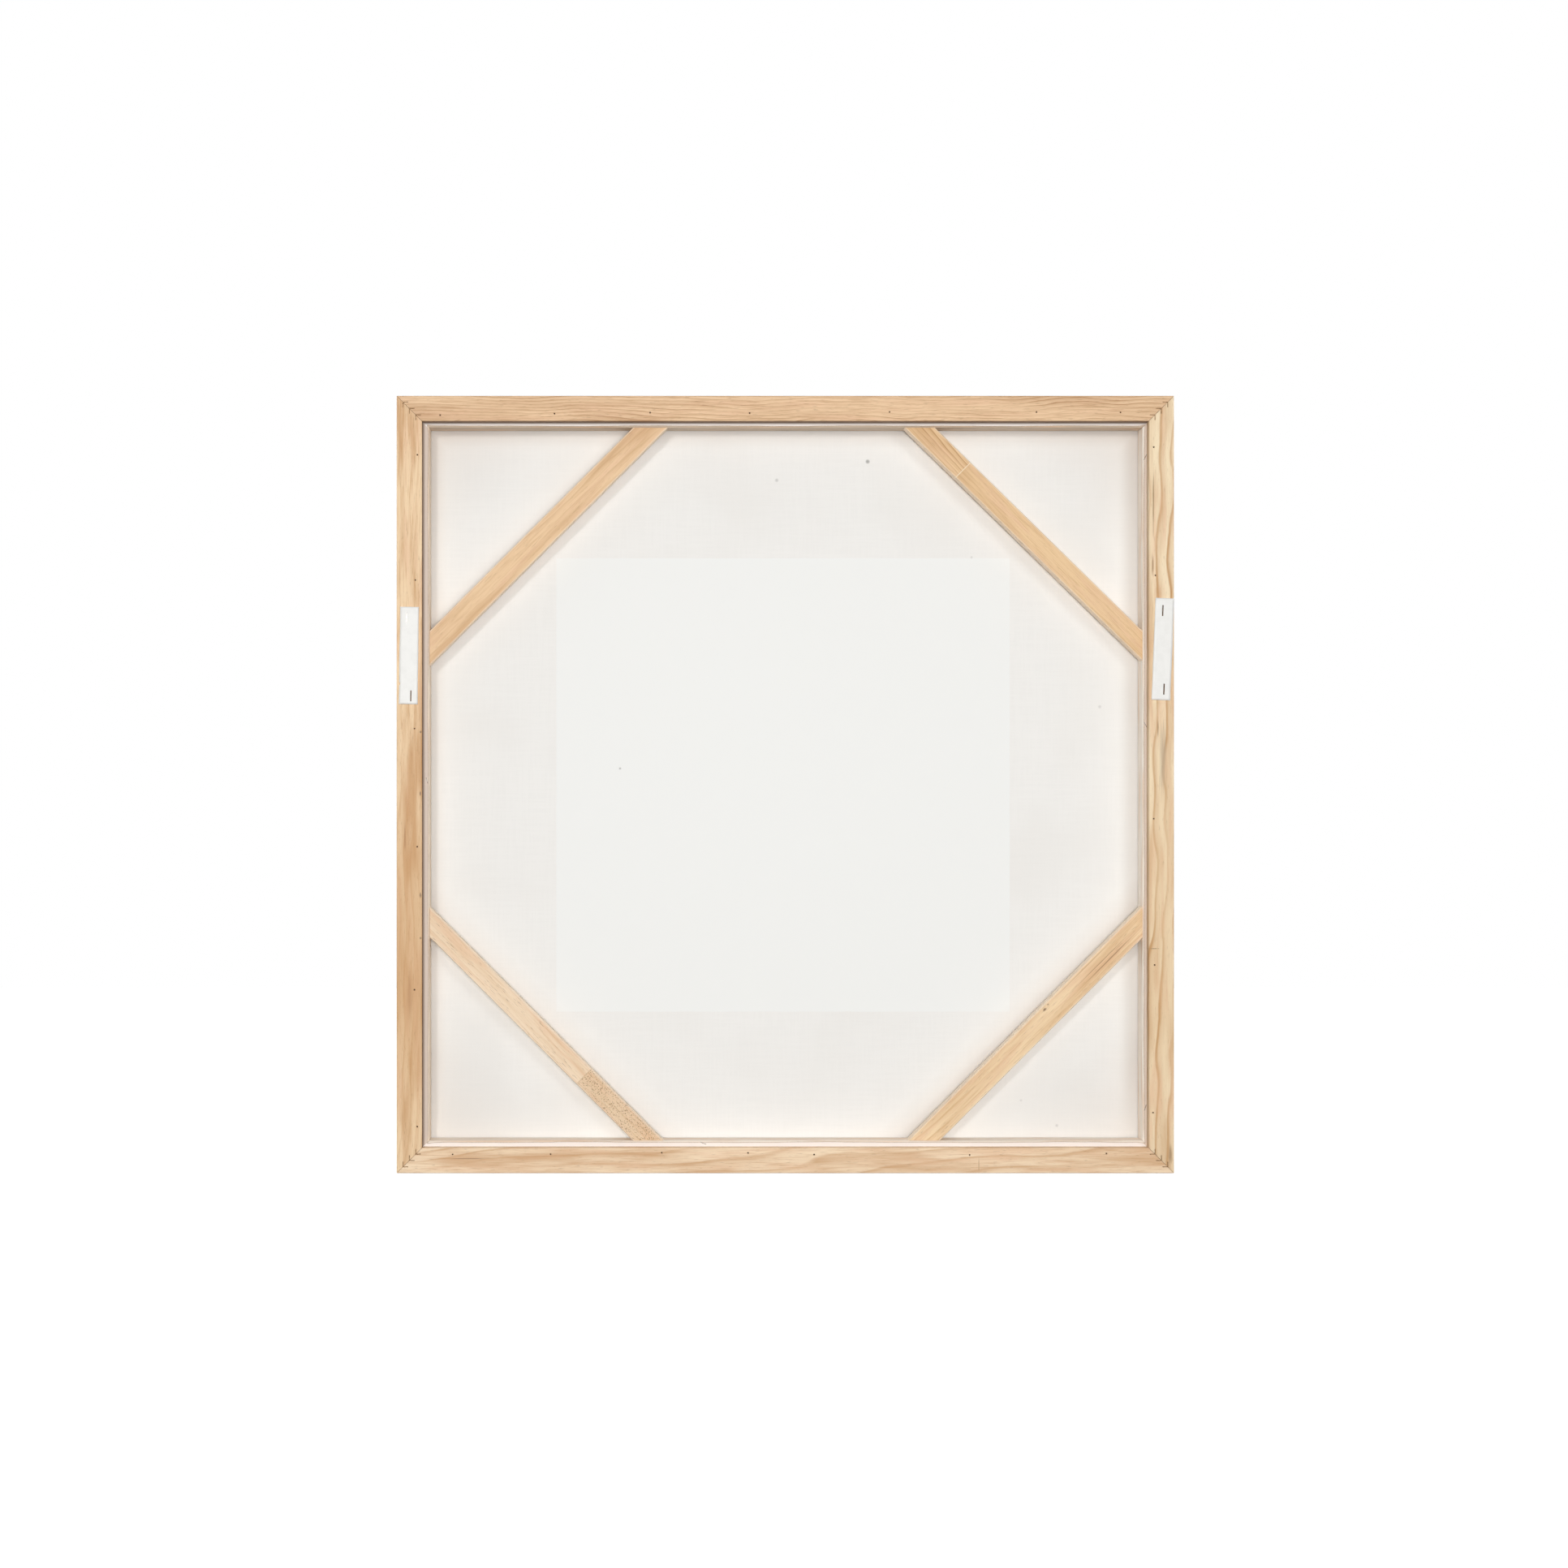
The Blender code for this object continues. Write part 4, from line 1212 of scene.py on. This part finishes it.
class StageOperator(bpy.types.Operator):
    """Sets the pale floor, the soft light and the camera"""
    bl_idname = "picture.stage"
    bl_label = "Stage"

    def execute(self, context):
        stage = context.scene.stage
        self.lay_floor(context, stage)
        self.light_room(context, stage)
        for key, (place, *_) in LAMPS.items():
            power = getattr(stage, key + "_power")
            size = getattr(stage, key + "_size")
            self.add_lamp(context, key.replace("_", " ") + " light", place, power, size)
        self.place_camera(context, stage)
        context.scene.view_settings.view_transform = "Standard"
        return {"FINISHED"}

    def lay_floor(self, context, stage):
        """A pale floor that looks white and keeps the object's shadow."""
        half = stage.floor_size / 2
        mesh = bpy.data.meshes.new("floor")
        corners = [(-half, -half, 0.0), (half, -half, 0.0), (half, half, 0.0), (-half, half, 0.0)]
        mesh.from_pydata(corners, [], [(0, 1, 2, 3)])
        material, add = new_material("paper floor")
        shadow = (stage.floor_shadow, stage.floor_shadow, stage.floor_shadow, 1.0)
        plain = add("BsdfDiffuse", stage.floor_colour)
        kept = add("BsdfDiffuse", shadow)
        glow = add("Emission", WHITE, 1.0 - stage.floor_shadow / 2)
        white = add("AddShader", kept, glow)
        add("OutputMaterial", add("MixShader", white_seen(add), plain, white))
        mesh.materials.append(material)
        floor = bpy.data.objects.new("floor", mesh)
        context.scene.collection.objects.link(floor)

    def light_room(self, context, stage):
        """Even light from all round, weaker from below, against a white ground."""
        world = bpy.data.worlds.new("studio")
        context.scene.world = world
        world.use_nodes = True
        world.node_tree.nodes.clear()
        add = partial(add_node, world.node_tree)
        height = add("SeparateXYZ", add("TexCoord").outputs["Generated"]).outputs["Z"]
        level = add("MapRange", height, *HORIZON_SPAN, stage.low_light, stage.sky_light)
        room = add("Background", WHITE, level)
        ground = add("Background", WHITE, 1.0)
        add("OutputWorld", add("MixShader", white_seen(add), room, ground))

    def add_lamp(self, context, name, place, power, size):
        """A square soft box that points at the middle of the work."""
        light = bpy.data.lights.new(name, "AREA")
        light.energy = power
        light.size = size
        lamp = bpy.data.objects.new(name, light)
        lamp.location = place
        lamp.visible_camera = False
        lamp.rotation_euler = (MIDDLE - lamp.location).to_track_quat("-Z", "Y").to_euler()
        context.scene.collection.objects.link(lamp)

    def place_camera(self, context, stage):
        """Square on to the back, a little left of the middle, with the picture shifted to suit."""
        data = bpy.data.cameras.new("camera")
        data.sensor_width = SENSOR_WIDTH
        data.lens = SENSOR_WIDTH * stage.camera_distance / stage.view_width
        data.shift_x = stage.camera_left / stage.view_width - PHOTO_RIGHT
        data.shift_y = stage.camera_low / stage.view_width + PHOTO_DOWN
        camera = bpy.data.objects.new("camera", data)
        away = FRAME_BACK - stage.camera_distance
        camera.location = (-stage.camera_left, away, MIDDLE.z - stage.camera_low)
        camera.rotation_euler = (math.pi / 2, 0.0, 0.0)
        context.scene.collection.objects.link(camera)
        context.scene.camera = camera


class CanvasPanel(bpy.types.Panel):
    """Lists the steps that dress the work, and what may be changed"""
    bl_idname = "VIEW3D_PT_picture"
    bl_label = "Floater-framed canvas"
    bl_space_type = "VIEW_3D"
    bl_region_type = "UI"
    bl_category = "Canvas"

    def draw(self, context):
        for operator in OPERATORS:
            self.layout.operator(operator.bl_idname)
        for key, settings in SETTINGS.items():
            box = self.layout.box()
            for name in settings.__annotations__:
                box.prop(getattr(context.scene, key), name)


SETTINGS = {
    "timber": TimberSettings,
    "cloth": ClothSettings,
    "strap": StrapSettings,
    "metal": MetalSettings,
    "stage": StageSettings,
}
OPERATORS = (
    RailsOperator,
    BarsOperator,
    BracesOperator,
    CanvasOperator,
    StrapsOperator,
    FastenersOperator,
    CanvasStaplesOperator,
    ThreadsOperator,
    StageOperator,
)
CLASSES = (*SETTINGS.values(), *OPERATORS, CanvasPanel)


def register():
    """Adds the settings, the operators and the panel."""
    for cls in CLASSES:
        bpy.utils.register_class(cls)
    for key, settings in SETTINGS.items():
        setattr(bpy.types.Scene, key, PointerProperty(type=settings))


def unregister():
    """Takes them away again."""
    for key in SETTINGS:
        delattr(bpy.types.Scene, key)
    for cls in reversed(CLASSES):
        bpy.utils.unregister_class(cls)


def main():
    """Dresses the work step by step."""
    register()
    bpy.ops.picture.frame_rails()
    bpy.ops.picture.stretcher_bars()
    bpy.ops.picture.corner_braces()
    bpy.ops.picture.canvas()
    bpy.ops.picture.hanging_straps()
    bpy.ops.picture.fasteners()
    bpy.ops.picture.canvas_staples()
    bpy.ops.picture.loose_threads()
    bpy.ops.picture.stage()


if __name__ == "__main__":
    main()
